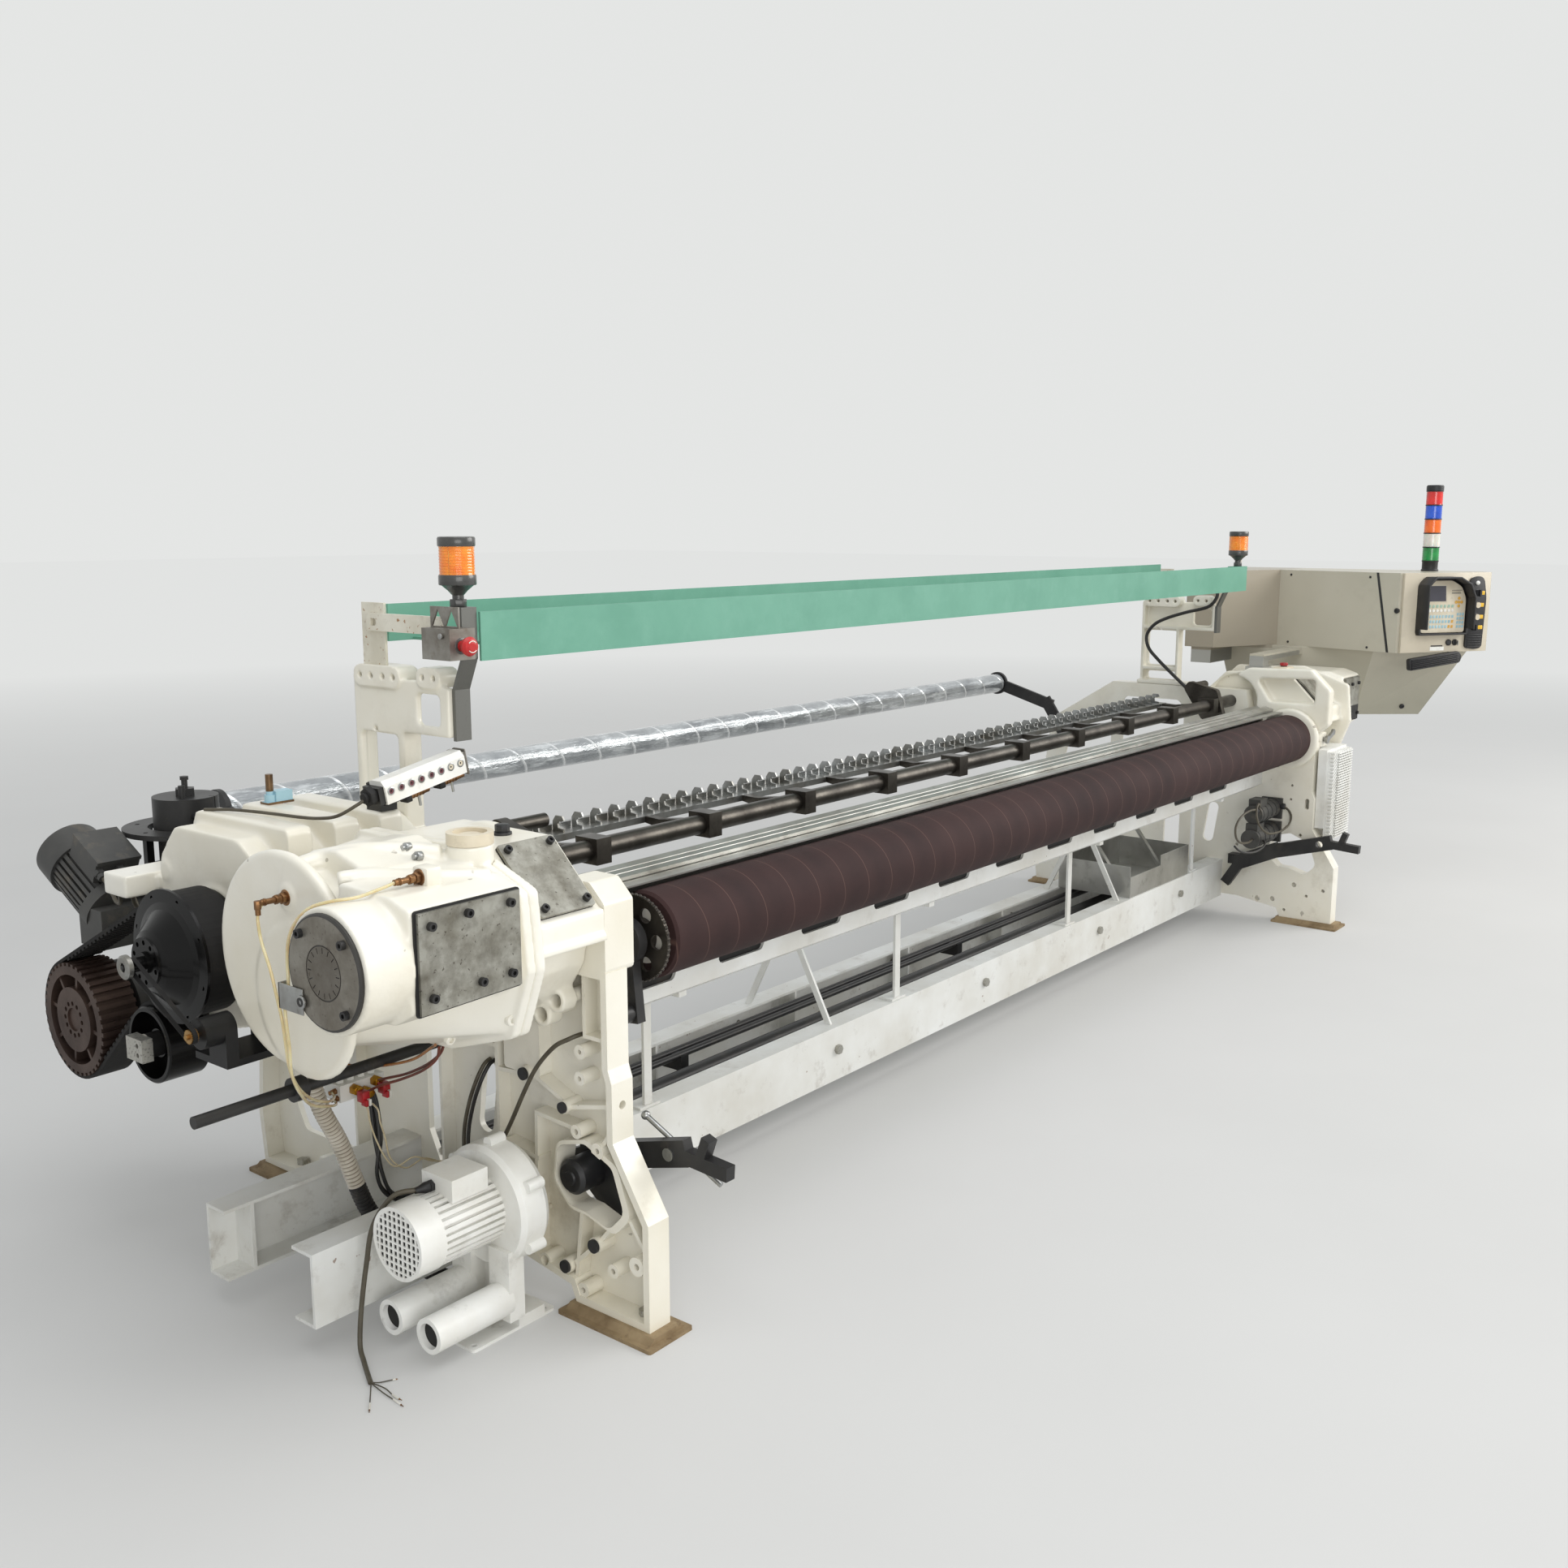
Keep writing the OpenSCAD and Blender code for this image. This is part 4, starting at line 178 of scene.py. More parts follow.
# Plain finishes: colour and second colour (0 to 255), size of the cloudy patches, roughness, then the rest
plainLooks = {
    # painted castings and rails
    "creamPaint": ((237, 234, 223), (224, 218, 200), 2.2, 0.32, {
        "roughVary": 0.18, "dirt": 0.14, "dirtScale": 6, "dirtColour": (150, 134, 104), "low": 0.75,
        "lowDirt": 0.34, "grain": 60, "relief": 0.2, "depth": 0.004, "coat": 0.3, "coatRough": 0.16, "edge": 0.5,
        "edgeWidth": 0.002, "edgeColour": (196, 184, 156), "specks": 0.5, "speckScale": 30,
        "speckRange": (0.755, 0.775), "speckColour": (96, 80, 58)}),
    "railPaint": ((230, 231, 228), (210, 208, 200), 3.5, 0.42, {
        "dirt": 0.2, "dirtScale": 12, "dirtColour": (124, 108, 86), "low": 0.3, "lowDirt": 0.45, "grain": 120,
        "relief": 0.1, "specks": 0.7, "speckScale": 44, "speckRange": (0.74, 0.77),
        "speckColour": (118, 76, 44)}),
    "mintPaint": ((92, 150, 128), (103, 160, 138), 5, 0.46, {
        "dirt": 0.2, "dirtScale": 14, "dirtRange": (0.5, 0.7), "dirtColour": (126, 176, 158), "relief": 0.06,
        "grain": 90}),
    "panelSheet": ((205, 196, 176), (194, 184, 164), 3, 0.4, {
        "dirt": 0.15, "dirtColour": (140, 128, 104), "relief": 0.04}),
    "blowerPaint": ((240, 240, 236), (226, 224, 216), 6, 0.32, {
        "dirt": 0.2, "dirtScale": 16, "dirtColour": (118, 108, 92), "low": 0.2, "lowDirt": 0.35, "grain": 200,
        "relief": 0.14, "depth": 0.0015}),
    # bare and blackened metal
    "blackSteel": ((34, 34, 35), (52, 51, 50), 8, 0.42, {
        "roughVary": 0.25, "metal": 0.3, "dirt": 0.35, "dirtScale": 20, "dirtColour": (84, 76, 66), "grain": 180,
        "relief": 0.15, "depth": 0.001}),
    "drumBlack": ((10, 10, 10), (17, 16, 16), 5, 0.24, {
        "roughVary": 0.12, "dirt": 0.12, "dirtScale": 12, "dirtColour": (48, 44, 40), "grain": 90, "relief": 0.06,
        "coat": 0.05, "coatRough": 0.1, "gloss": 0.2}),
    "brightSteel": ((176, 178, 178), (134, 132, 126), 10, 0.32, {
        "roughVary": 0.24, "metal": 0.95, "dirt": 0.4, "dirtScale": 24, "dirtColour": (70, 62, 52), "grain": 240,
        "relief": 0.08}),
    "dullZinc": ((150, 148, 142), (118, 112, 104), 16, 0.46, {
        "metal": 0.8, "dirt": 0.5, "dirtScale": 30, "dirtColour": (88, 66, 44), "grain": 200, "relief": 0.1}),
    "aluRail": ((188, 188, 184), (150, 148, 142), 4, 0.34, {
        "metal": 0.9, "dirt": 0.4, "dirtScale": 18, "dirtColour": (80, 76, 66), "grain": 200, "relief": 0.06}),
    "greasySteel": ((88, 84, 78), (54, 50, 46), 9, 0.36, {
        "roughVary": 0.3, "metal": 0.85, "dirt": 0.7, "dirtScale": 22, "dirtColour": (38, 30, 24), "grain": 160,
        "relief": 0.14}),
    "rustyPad": ((158, 138, 106), (118, 98, 70), 12, 0.72, {
        "metal": 0.2, "dirt": 0.8, "dirtScale": 26, "dirtColour": (76, 50, 30), "grain": 140, "relief": 0.3}),
    "rustPulley": ((84, 68, 60), (60, 47, 42), 9, 0.5, {
        "roughVary": 0.3, "metal": 0.6, "dirt": 0.7, "dirtScale": 18, "dirtColour": (44, 32, 27), "grain": 130,
        "relief": 0.2}),
    "motorGrey": ((62, 62, 61), (80, 79, 76), 7, 0.48, {
        "metal": 0.3, "dirt": 0.5, "dirtScale": 16, "dirtColour": (120, 110, 94), "grain": 150, "relief": 0.15}),
    "brass": ((190, 156, 98), (150, 112, 66), 20, 0.34, {
        "metal": 0.95, "dirt": 0.5, "dirtScale": 40, "dirtColour": (84, 60, 36)}),
    # rubber and plastic
    "beltRubber": ((19, 18, 18), (32, 31, 30), 12, 0.72, {
        "dirt": 0.4, "dirtScale": 20, "dirtColour": (62, 56, 48), "grain": 160, "relief": 0.3, "depth": 0.001,
        "gloss": 0.3}),
    "blackPlastic": ((24, 24, 26), (38, 38, 40), 9, 0.45, {
        "dirt": 0.3, "dirtScale": 22, "dirtColour": (92, 86, 76), "grain": 320, "relief": 0.18, "depth": 0.0008}),
    "creamPlastic": ((222, 212, 190), (204, 192, 168), 9, 0.42, {
        "dirt": 0.25, "dirtScale": 30, "dirtColour": (120, 104, 80), "relief": 0.05}),
    "redPlastic": ((196, 34, 34), (160, 24, 26), 20, 0.36, {
        "dirt": 0.25, "dirtScale": 50, "dirtColour": (90, 20, 18), "relief": 0.05}),
    # small parts
    "clearHose": ((206, 199, 186), (182, 173, 156), 18, 0.24, {
        "dirt": 0.35, "dirtScale": 40, "dirtColour": (96, 82, 64), "coat": 0.4, "relief": 0.08}),
    # darker copy of clearHose: painted shade in the hose's grooves
    "hoseGroove": ((146, 136, 120), (120, 110, 94), 18, 0.3, {
        "dirt": 0.4, "dirtScale": 40, "dirtColour": (64, 54, 42), "coat": 0.3, "relief": 0.08}),
    "hoseRubber": ((26, 25, 25), (44, 42, 40), 14, 0.5, {
        "dirt": 0.4, "dirtScale": 40, "dirtColour": (96, 90, 80), "relief": 0.1}),
    "greyCable": ((88, 82, 68), (66, 60, 48), 16, 0.5, {
        "dirt": 0.4, "dirtScale": 50, "dirtColour": (48, 42, 34), "relief": 0.08}),
    "blackCable": ((28, 27, 27), (44, 42, 40), 16, 0.45, {
        "dirt": 0.3, "dirtScale": 40, "dirtColour": (84, 78, 68), "relief": 0.08}),
    "redCable": ((118, 50, 32), (88, 36, 26), 20, 0.36, {
        "dirt": 0.4, "dirtScale": 40, "dirtColour": (58, 34, 24), "relief": 0.06, "coat": 0.2}),
    "oilTube": ((222, 208, 166), (196, 176, 126), 14, 0.2, {
        "dirt": 0.2, "dirtScale": 30, "dirtColour": (150, 118, 70), "relief": 0.04, "coat": 0.5, "wax": 0.2}),
    "amberTube": ((158, 104, 54), (128, 78, 38), 18, 0.24, {
        "dirt": 0.3, "dirtColour": (84, 54, 32), "relief": 0.04, "coat": 0.4}),
    "creamCable": ((206, 192, 160), (180, 164, 130), 18, 0.44, {
        "dirt": 0.4, "dirtScale": 40, "dirtColour": (110, 94, 70), "relief": 0.05}),
    "whiteSleeve": ((226, 224, 216), (200, 196, 184), 30, 0.4, {"dirt": 0.3, "dirtScale": 60, "relief": 0.04}),
    "oldBrass": ((150, 112, 76), (104, 76, 54), 40, 0.36, {
        "roughVary": 0.2, "metal": 0.9, "dirt": 0.6, "dirtScale": 70, "dirtColour": (56, 42, 32), "relief": 0.1}),
    "goldBrass": ((190, 142, 42), (150, 104, 28), 40, 0.3, {
        "metal": 0.9, "dirt": 0.4, "dirtScale": 60, "dirtColour": (80, 56, 26)}),
    "plugRed": ((172, 26, 34), (132, 18, 26), 40, 0.34, {"dirt": 0.3, "dirtScale": 60, "relief": 0.04}),
    # near black, for black parts, and as painted shade in holes, in slots and behind the grille
    "darkHole": ((12, 12, 12), (20, 19, 18), 30, 0.7, {}),
    "greyPlastic": ((70, 70, 68), (54, 54, 52), 20, 0.3, {
        "dirt": 0.2, "dirtScale": 40, "dirtColour": (110, 104, 92), "coat": 0.3, "relief": 0.05}),
    "paleAmber": ((255, 150, 40), (240, 116, 14), 26, 0.14, {
        "coat": 0.6, "wax": 0.25, "dirt": 0.05, "relief": 0.04}),
    "labelWhite": ((232, 230, 222), (208, 204, 192), 30, 0.5, {
        "dirt": 0.5, "dirtScale": 60, "dirtColour": (150, 144, 130), "relief": 0.04}),
    "socketRed": ((112, 62, 68), (90, 46, 52), 30, 0.4, {}),
    "screenGlass": ((66, 64, 74), (54, 52, 62), 8, 0.12, {"coat": 0.6, "coatRough": 0.05, "relief": 0.02}),
    "keyBlue": ((168, 200, 208), (146, 180, 190), 40, 0.42, {}),
    "keyGreen": ((170, 196, 178), (148, 176, 158), 40, 0.42, {}),
    "keyWhite": ((238, 238, 232), (220, 218, 210), 40, 0.42, {}),
    "keyAmber": ((224, 176, 84), (200, 150, 62), 40, 0.42, {}),
    "labelYellow": ((240, 196, 60), (222, 174, 44), 40, 0.44, {})}
for name, (shade, second, patch, rough, rest) in plainLooks.items():
    rest = {key: srgb(*value) if key.endswith("Colour") else value for key, value in rest.items()}
    makeFinish(name, {"colour": srgb(*shade), "second": srgb(*second), "patch": patch, "rough": rough, **rest})

# Lenses and beacon glass
for lens, shade, deep in (("amberLens", (255, 122, 12), (226, 84, 4)), ("redLens", (226, 40, 30), (178, 22, 20)),
                          ("blueLens", (28, 92, 214), (14, 58, 168)), ("greenLens", (26, 156, 72), (12, 108, 48)),
                          ("whiteLens", (236, 234, 224), (206, 202, 190))):
    makeFinish(lens, {"colour": srgb(*shade), "second": srgb(*deep), "patch": 26, "rough": 0.16, "roughVary": 0.06,
                      "dirt": 0.12, "dirtScale": 30, "relief": 0.04, "coat": 0.6, "coatRough": 0.08, "wax": 0.25})


def winding(e, look):
    # place in the turn of a helix round the look's axis, from 0 to 1
    across, up = e["y"] - look["axisY"], e["z"] - look["axisZ"]
    along = e["x"] / look["turn"] + across.maths("ARCTAN2", across, up) / (2 * math.pi)
    return along.maths("FRACT", along)


# Maroon emery cover, wound in a helix that leaves a thin seam at each turn
emeryLook = {"colour": srgb(52, 32, 31), "second": srgb(41, 26, 26), "gloss": 0.3, "patch": 5, "rough": 0.78,
             "roughVary": 0.1, "dirt": 0.35, "dirtScale": 10, "dirtColour": srgb(40, 27, 27), "grain": 900,
             "relief": 0.35, "depth": 0.0008, "turn": 0.098, "axisY": -0.454, "axisZ": 0.761, "left": -1.935,
             "right": 1.797, "bandRange": (0.1, 0.5), "seamRange": (0.484, 0.496), "band": srgb(60, 39, 37),
             "seam": srgb(92, 68, 61), "ends": srgb(222, 218, 208)}


def emeryPattern(e):
    start = e["start"]
    toSeam = winding(e, emeryLook) - 0.5
    toSeam = toSeam.maths("ABSOLUTE", toSeam)
    seam = toSeam.ramp(*emeryLook["seamRange"])
    colour = start.tint(toSeam.ramp(*emeryLook["bandRange"]) * 0.35, e["colour"], emeryLook["band"])
    colour = start.tint(seam * 0.75, colour, emeryLook["seam"])
    ends = (e["x"] < emeryLook["left"]) + (e["x"] > emeryLook["right"])
    colour = start.tint(ends, colour, emeryLook["ends"])
    return {"colour": colour, "rough": e["rough"] - ends * 0.3, "height": e["height"] - seam * 1.2}


makeFinish("emery", emeryLook, emeryPattern)

# Bare steel cover plates on black gaskets; the round one is darker at its rim
coverLook = {"colour": srgb(168, 167, 158), "second": srgb(122, 119, 108), "patch": 16, "rough": 0.44,
             "roughVary": 0.3, "metal": 0.6, "dirt": 0.75, "dirtScale": 20, "dirtRange": (0.44, 0.76),
             "dirtColour": srgb(72, 66, 54), "grain": 260, "relief": 0.12, "specks": 0.7, "speckScale": 120,
             "sideX": 2.415, "sideLip": -0.6161, "rightLip": -0.5641, "slantY": -0.4825, "slantZ": 0.945,
             "slope": 0.7071, "slantLip": 0.0048, "roundX": -2.6605, "roundFace": -2.7594, "roundY": -0.510,
             "roundZ": 0.884, "rim": (0.0955, 0.0965), "dial": 0.049,
             "round": srgb(112, 104, 94), "dialSteel": srgb(84, 78, 70), "rimBlack": srgb(30, 29, 28),
             "gasket": srgb(20, 19, 19)}


def coverPattern(e):
    start, x, y, z = e["start"], e["x"], e["y"], e["z"]
    height = (z - coverLook["slantZ"]) * coverLook["slope"] - (y - coverLook["slantY"]) * coverLook["slope"]
    outer = x.maths("ABSOLUTE", x) > coverLook["sideX"]
    sideGasket = (y > coverLook["sideLip"]) * (x < -coverLook["sideX"])
    rightGasket = (y > coverLook["rightLip"]) * (x > 0) * outer
    slantGasket = (height < coverLook["slantLip"]) * (1 - outer)
    across, up = y - coverLook["roundY"], z - coverLook["roundZ"]
    radius = across.maths("SQRT", across * across + up * up)
    onRound = x < coverLook["roundX"]
    rim = (radius.ramp(*coverLook["rim"]) + (x > coverLook["roundFace"])).upToOne() * onRound
    dial = (radius < coverLook["dial"]) * onRound
    black = (sideGasket * (1 - onRound) + rightGasket + slantGasket).upToOne()
    colour = start.tint(onRound * 0.55, e["colour"], coverLook["round"])
    colour = start.tint(dial * 0.5, colour, coverLook["dialSteel"])
    colour = start.tint(rim * 0.92, colour, coverLook["rimBlack"])
    colour = start.tint(black, colour, coverLook["gasket"])
    return {"colour": colour, "rough": e["rough"] + black * 0.25, "metal": (1 - black) * (1 - rim) * 0.6}


makeFinish("plateSteel", coverLook, coverPattern)

# Flat straps: cream with rusty specks at the top, darker bare steel lower down
strapLook = {"colour": srgb(226, 222, 208), "second": srgb(206, 200, 182), "patch": 10, "rough": 0.4, "dirt": 0.3,
             "dirtScale": 20, "dirtColour": srgb(128, 112, 84), "specks": 0.9, "speckScale": 90,
             "speckRange": (0.64, 0.7), "speckColour": srgb(150, 104, 56), "relief": 0.12, "steelY": -0.1035,
             "steel": srgb(112, 112, 108)}


def strapPattern(e):
    lower = e["y"] < strapLook["steelY"]
    colour = e["start"].tint(lower, e["colour"], strapLook["steel"])
    return {"colour": colour, "metal": lower * 0.7}


makeFinish("strapPaint", strapLook, strapPattern)

# Socket box: white rail with a black nut, a grey end plate and a black arm
socketLook = {"colour": srgb(236, 236, 232), "second": srgb(220, 218, 210), "patch": 8, "rough": 0.36, "dirt": 0.25,
              "dirtScale": 24, "dirtColour": srgb(140, 128, 106), "relief": 0.06, "place": (-2330, -128, 1060),
              "tilt": 11, "pitch": 26, "nutEnd": -0.0004, "plateStart": 0.2084, "armY": -0.0795,
              "black": srgb(32, 31, 30), "plate": srgb(116, 112, 106)}


def socketPattern(e):
    tilt, place = math.radians(socketLook["tilt"]), mm(*socketLook["place"])
    along = (e["x"] - place.x) * math.cos(tilt) + (e["z"] - place.z) * math.sin(tilt)
    right = along > socketLook["plateStart"]
    black = ((along < socketLook["nutEnd"]) + (e["y"] > socketLook["armY"])).upToOne()
    colour = e["start"].tint(black, e["colour"], socketLook["black"])
    colour = e["start"].tint(right, colour, socketLook["plate"])
    return {"colour": colour, "metal": right * 0.6}


makeFinish("socketPaint", socketLook, socketPattern)

# Position sensor: bronze post and clamp with a pale blue housing
sensorLook = {"colour": srgb(132, 106, 78), "second": srgb(92, 72, 54), "patch": 30, "rough": 0.38, "metal": 0.85,
              "dirt": 0.6, "dirtScale": 40, "dirtColour": srgb(52, 42, 34), "housing": srgb(158, 194, 206),
              "housingY": (0.2255, 0.2525), "housingZ": (1.0285, 1.0515)}


def sensorPattern(e):
    (front, back), (low, high) = sensorLook["housingY"], sensorLook["housingZ"]
    blue = (e["y"] > front) * (e["y"] < back) * (e["z"] > low) * (e["z"] < high)
    return {"colour": e["start"].tint(blue, e["colour"], sensorLook["housing"]),
            "metal": (1 - blue) * sensorLook["metal"]}


makeFinish("sensorMetal", sensorLook, sensorPattern)

# Control cabinet: brown-grey wall darkened as painted shade, paler front, greener legs and bare aluminium fins
cabinetLook = {"colour": srgb(188, 183, 167), "second": srgb(174, 169, 152), "patch": 1.1, "rough": 0.4,
               "roughVary": 0.12, "dirt": 0.16, "dirtScale": 4, "dirtColour": srgb(124, 116, 98), "relief": 0.04,
               "grain": 220, "coat": 0.15, "boxTop": 1.066, "legLow": 0.82, "finX": 2.424, "shadedWallY": -0.131,
               "wall": srgb(152, 142, 126), "leg": srgb(132, 132, 116), "fins": srgb(178, 178, 174)}


def cabinetPattern(e):
    start, x, y, z = e["start"], e["x"], e["y"], e["z"]
    under = z < cabinetLook["boxTop"]
    fins = under * (x < cabinetLook["finX"])
    # the wall behind the front corner is darkened: painted shade
    wall = (1 - under) * (y > cabinetLook["shadedWallY"])
    colour = start.tint(wall * 0.75, e["colour"], cabinetLook["wall"])
    leg = under * z.ramp(cabinetLook["boxTop"], cabinetLook["legLow"])
    colour = start.tint(leg * 0.45, colour, cabinetLook["leg"])
    colour = start.tint(fins, colour, cabinetLook["fins"])
    return {"colour": colour, "metal": fins * 0.85}


makeFinish("cabinetPaint", cabinetLook, cabinetPattern)

# Idler bracket: bare steel block on a black arm
bracketLook = {"colour": srgb(26, 26, 26), "second": srgb(42, 41, 40), "patch": 8, "rough": 0.42,
               "roughVary": 0.2, "dirt": 0.3, "dirtScale": 20, "dirtColour": srgb(70, 64, 56), "grain": 180,
               "relief": 0.12, "depth": 0.001, "gloss": 0.3, "blockX": -2.6795, "blockY": 0.2,
               "bare": srgb(178, 176, 168)}


def bracketPattern(e):
    bare = (e["x"] < bracketLook["blockX"]) * (e["y"] > bracketLook["blockY"])
    colour = e["start"].tint(bare * (1 - e["fine"].ramp(0.54, 0.7) * 0.6), e["colour"], bracketLook["bare"])
    return {"colour": colour, "metal": bare * 0.6 + 0.1}


makeFinish("bracketSteel", bracketLook, bracketPattern)

# Screws: blackened above, plated bolts on the base channels
screwLook = {"colour": srgb(34, 34, 35), "second": srgb(52, 51, 50), "patch": 8, "rough": 0.42,
             "roughVary": 0.25, "dirt": 0.35, "dirtScale": 20, "dirtColour": srgb(84, 76, 66), "grain": 180,
             "relief": 0.15, "depth": 0.001, "platedTop": 0.35, "plated": srgb(172, 170, 162)}


def screwPattern(e):
    plated = e["z"] < screwLook["platedTop"]
    colour = e["start"].tint(plated * (1 - e["fine"].ramp(0.56, 0.7) * 0.5), e["colour"], screwLook["plated"])
    return {"colour": colour, "metal": plated * 0.6 + 0.3}


makeFinish("screwSteel", screwLook, screwPattern)

# Clear film wound round the back-rest tube, with painted highlights along its creases
filmLook = {"colour": srgb(182, 186, 188), "second": srgb(138, 142, 146), "patch": 8, "rough": 0.2,
            "roughVary": 0.14, "metal": 0.55, "dirt": 0.3, "dirtScale": 14, "dirtColour": srgb(96, 98, 98),
            "relief": 0.55, "depth": 0.006, "coat": 0.8, "coatRough": 0.08, "turn": 0.16, "axisY": 0.9,
            "axisZ": 0.895, "paintedGlint": srgb(232, 236, 238), "edgeWhite": srgb(244, 246, 247)}


def filmPattern(e):
    start, spot = e["start"], e["spot"]
    layer = winding(e, filmLook)
    edge = layer.ramp(0.9, 0.97) * (1 - layer.ramp(0.97, 1.0))
    crease = spot.noise(26, 4, 0.62, (0.3, 1.6, 1.6), 2.0)
    # painted highlight on the crests of the creases
    paintedGlint = crease.ramp(0.52, 0.64)
    colour = start.tint(paintedGlint * 0.7, e["colour"], filmLook["paintedGlint"])
    colour = start.tint(edge, colour, filmLook["edgeWhite"])
    return {"colour": colour, "height": crease * 1.4 + edge * 0.6, "rough": e["rough"] - paintedGlint * 0.1}


makeFinish("film", filmLook, filmPattern)
print("finishes made:", len(finishes))

# Nodes by finish
nodeFinishes = {
    "creamPaint": ("left_side_frame", "right_side_frame", "left_gear_case", "left_gear_cover", "rear_gear_case",
                   "post_castings", "right_gear_case"),
    "rustyPad": ("foot_pads",),
    "blackPlastic": ("frame_plugs", "selector_knob", "blower_cable"),
    "railPaint": ("front_channel", "rear_channel", "cross_beam", "beam_stands", "oil_manifold",
                  "electronics_cover"),
    "screwSteel": ("screws",),
    "blackSteel": ("base_tubes", "coupling_stand", "coupling_drum", "carrying_bar", "roller_arm",
                   "back_rest_brackets", "cloth_arms"),
    "aluRail": ("cloth_tray", "guide_rails"),
    "plateSteel": ("cover_plates",),
    "creamPlastic": ("oil_cap", "run_button", "jog_button", "suction_hose"),
    "drumBlack": ("brake_drum", "idler_roller"),
    "rustPulley": ("motor_pulley",),
    "motorGrey": ("main_motor", "let_off_motor", "servo_motors"),
    "beltRubber": ("drive_belt", "encoder_belt"),
    "bracketSteel": ("drive_bracket",),
    "brass": ("encoder_wheel",),
    "sensorMetal": ("position_sensor",),
    "emery": ("take_up_roller",),
    "greasySteel": ("take_up_sprocket", "sley_shaft"),
    "brightSteel": ("sley_beam", "cloth_latch", "gear_lever"),
    "film": ("back_rest_tube",),
    "mintPaint": ("top_beam",),
    "strapPaint": ("beam_straps",),
    "dullZinc": ("stop_box",),
    "redPlastic": ("stop_button",),
    "amberLens": ("beacons",),
    "socketPaint": ("socket_box",),
    "cabinetPaint": ("cabinet",),
    "panelSheet": ("control_panel",),
    "redLens": ("signal_tower",),
    "blowerPaint": ("blower",)}
for finish, names in nodeFinishes.items():
    for name in names:
        loomNodes[name].data.materials.clear()
        loomNodes[name].data.materials.append(finishes[finish])


# Tools for building pieces; places and sizes are in millimetres
def aimed(place, along=(0, 0, 1)):
    # sets a shape's own Z along a direction, with its foot at a place
    return Matrix.Translation(mm(*place)) @ Vector(along).to_track_quat("Z", "Y").to_matrix().to_4x4()


def settle(build, known, matrix, slot, edge=0.0):
    # puts new points in place, paints their faces and rounds their sharp edges
    verts = [v for v in build.verts if v not in known]
    bmesh.ops.transform(build, matrix=matrix, verts=verts)
    added = set(verts)
    for face in build.faces:
        if face.verts[0] in added:
            face.material_index = slot
    if edge:
        sharp = [e for e in build.edges if e.verts[0] in added and len(e.link_faces) == 2
                 and e.calc_face_angle() > 1.0]
        bmesh.ops.bevel(build, geom=sharp, offset=edge / 1000, offset_type="OFFSET", segments=2, profile=0.5,
                        affect="EDGES", material=-1, clamp_overlap=True)


def rod(build, place, along, radius, length, slot=0, sides=24, tip=None, edge=0.0, turn=None):
    known = set(build.verts)
    bmesh.ops.create_cone(build, cap_ends=True, segments=sides, radius1=radius / 1000,
                          radius2=(radius if tip is None else tip) / 1000, depth=length / 1000)
    matrix = aimed(place, along) @ Matrix.Translation((0, 0, length / 2000))
    settle(build, known, matrix if turn is None else turn @ matrix, slot, edge)


def block(build, low, size, slot=0, edge=0.0, turn=None):
    known = set(build.verts)
    bmesh.ops.create_cube(build, size=1)
    matrix = Matrix.Translation(mm(*low) + mm(*size) / 2) @ Matrix.Diagonal((*mm(*size), 1))
    settle(build, known, matrix if turn is None else turn @ matrix, slot, edge)


def turned(build, place, along, profile, slot=0, steps=32, turn=None):
    # lathe work: the profile runs as (radius, height) from the foot
    known = set(build.verts)
    line = [build.verts.new((r / 1000, 0, h / 1000)) for r, h in profile]
    rim = [build.edges.new(pair) for pair in zip(line, line[1:])]
    bmesh.ops.spin(build, geom=line + rim, cent=(0, 0, 0), axis=(0, 0, 1), dvec=(0, 0, 0),
                   angle=2 * math.pi, steps=steps, use_merge=True)
    matrix = aimed(place, along)
    settle(build, known, matrix if turn is None else turn @ matrix, slot)


def plate(build, outline, thick, slot=0, edge=0.0, turn=None, low=0.0, corner=0.0, wall=0.0):
    # sheet from an outline in its own X and Y, thickened upwards; with a wall it is a frame
    known = set(build.verts)
    face = build.faces.new([build.verts.new((x / 1000, y / 1000, low / 1000)) for x, y in outline])
    if corner:
        bmesh.ops.bevel(build, geom=list(face.verts), offset=corner / 1000, offset_type="OFFSET", segments=5,
                        profile=0.5, affect="VERTICES", material=-1, clamp_overlap=True)
        face = [f for f in build.faces if f.verts[0] not in known][0]
    if wall:
        bmesh.ops.inset_individual(build, faces=[face], thickness=wall / 1000, depth=0)
        bmesh.ops.delete(build, geom=[face], context="FACES_ONLY")
    sheet = [f for f in build.faces if f.verts[0] not in known]
    made = bmesh.ops.extrude_face_region(build, geom=sheet, use_keep_orig=True)["geom"]
    raised = [v for v in made if isinstance(v, bmesh.types.BMVert)]
    bmesh.ops.translate(build, vec=(0, 0, thick / 1000), verts=raised)
    settle(build, known, turn or Matrix.Identity(4), slot, edge)


def smoothPath(points, steps=6):
    # smooth curve through the points, in metres, as the cords' solids follow it
    route = [mm(*p) for p in points]
    path = []
    for i in range(len(route) - 1):
        a, b, c, d = route[max(i - 1, 0)], route[i], route[i + 1], route[min(i + 2, len(route) - 1)]
        for j in range(steps):
            t = j / steps
            path.append(0.5 * (2 * b + (c - a) * t + (2 * a - 5 * b + 4 * c - d) * t * t
                               + (3 * b - a - 3 * c + d) * t ** 3))
    return path + [route[-1]]


def pathLength(path):
    return sum((q - p).length for p, q in zip(path, path[1:]))


def evenPath(path, spacing):
    # the same path with its points at one spacing, in metres
    whole = pathLength(path)
    count = max(2, round(whole / spacing))
    marks, walked, i = [path[0]], 0.0, 0
    for k in range(1, count):
        goal = whole * k / count
        while walked + (path[i + 1] - path[i]).length < goal:
            walked += (path[i + 1] - path[i]).length
            i += 1
        marks.append(path[i].lerp(path[i + 1], (goal - walked) / (path[i + 1] - path[i]).length))
    return marks + [path[-1]]


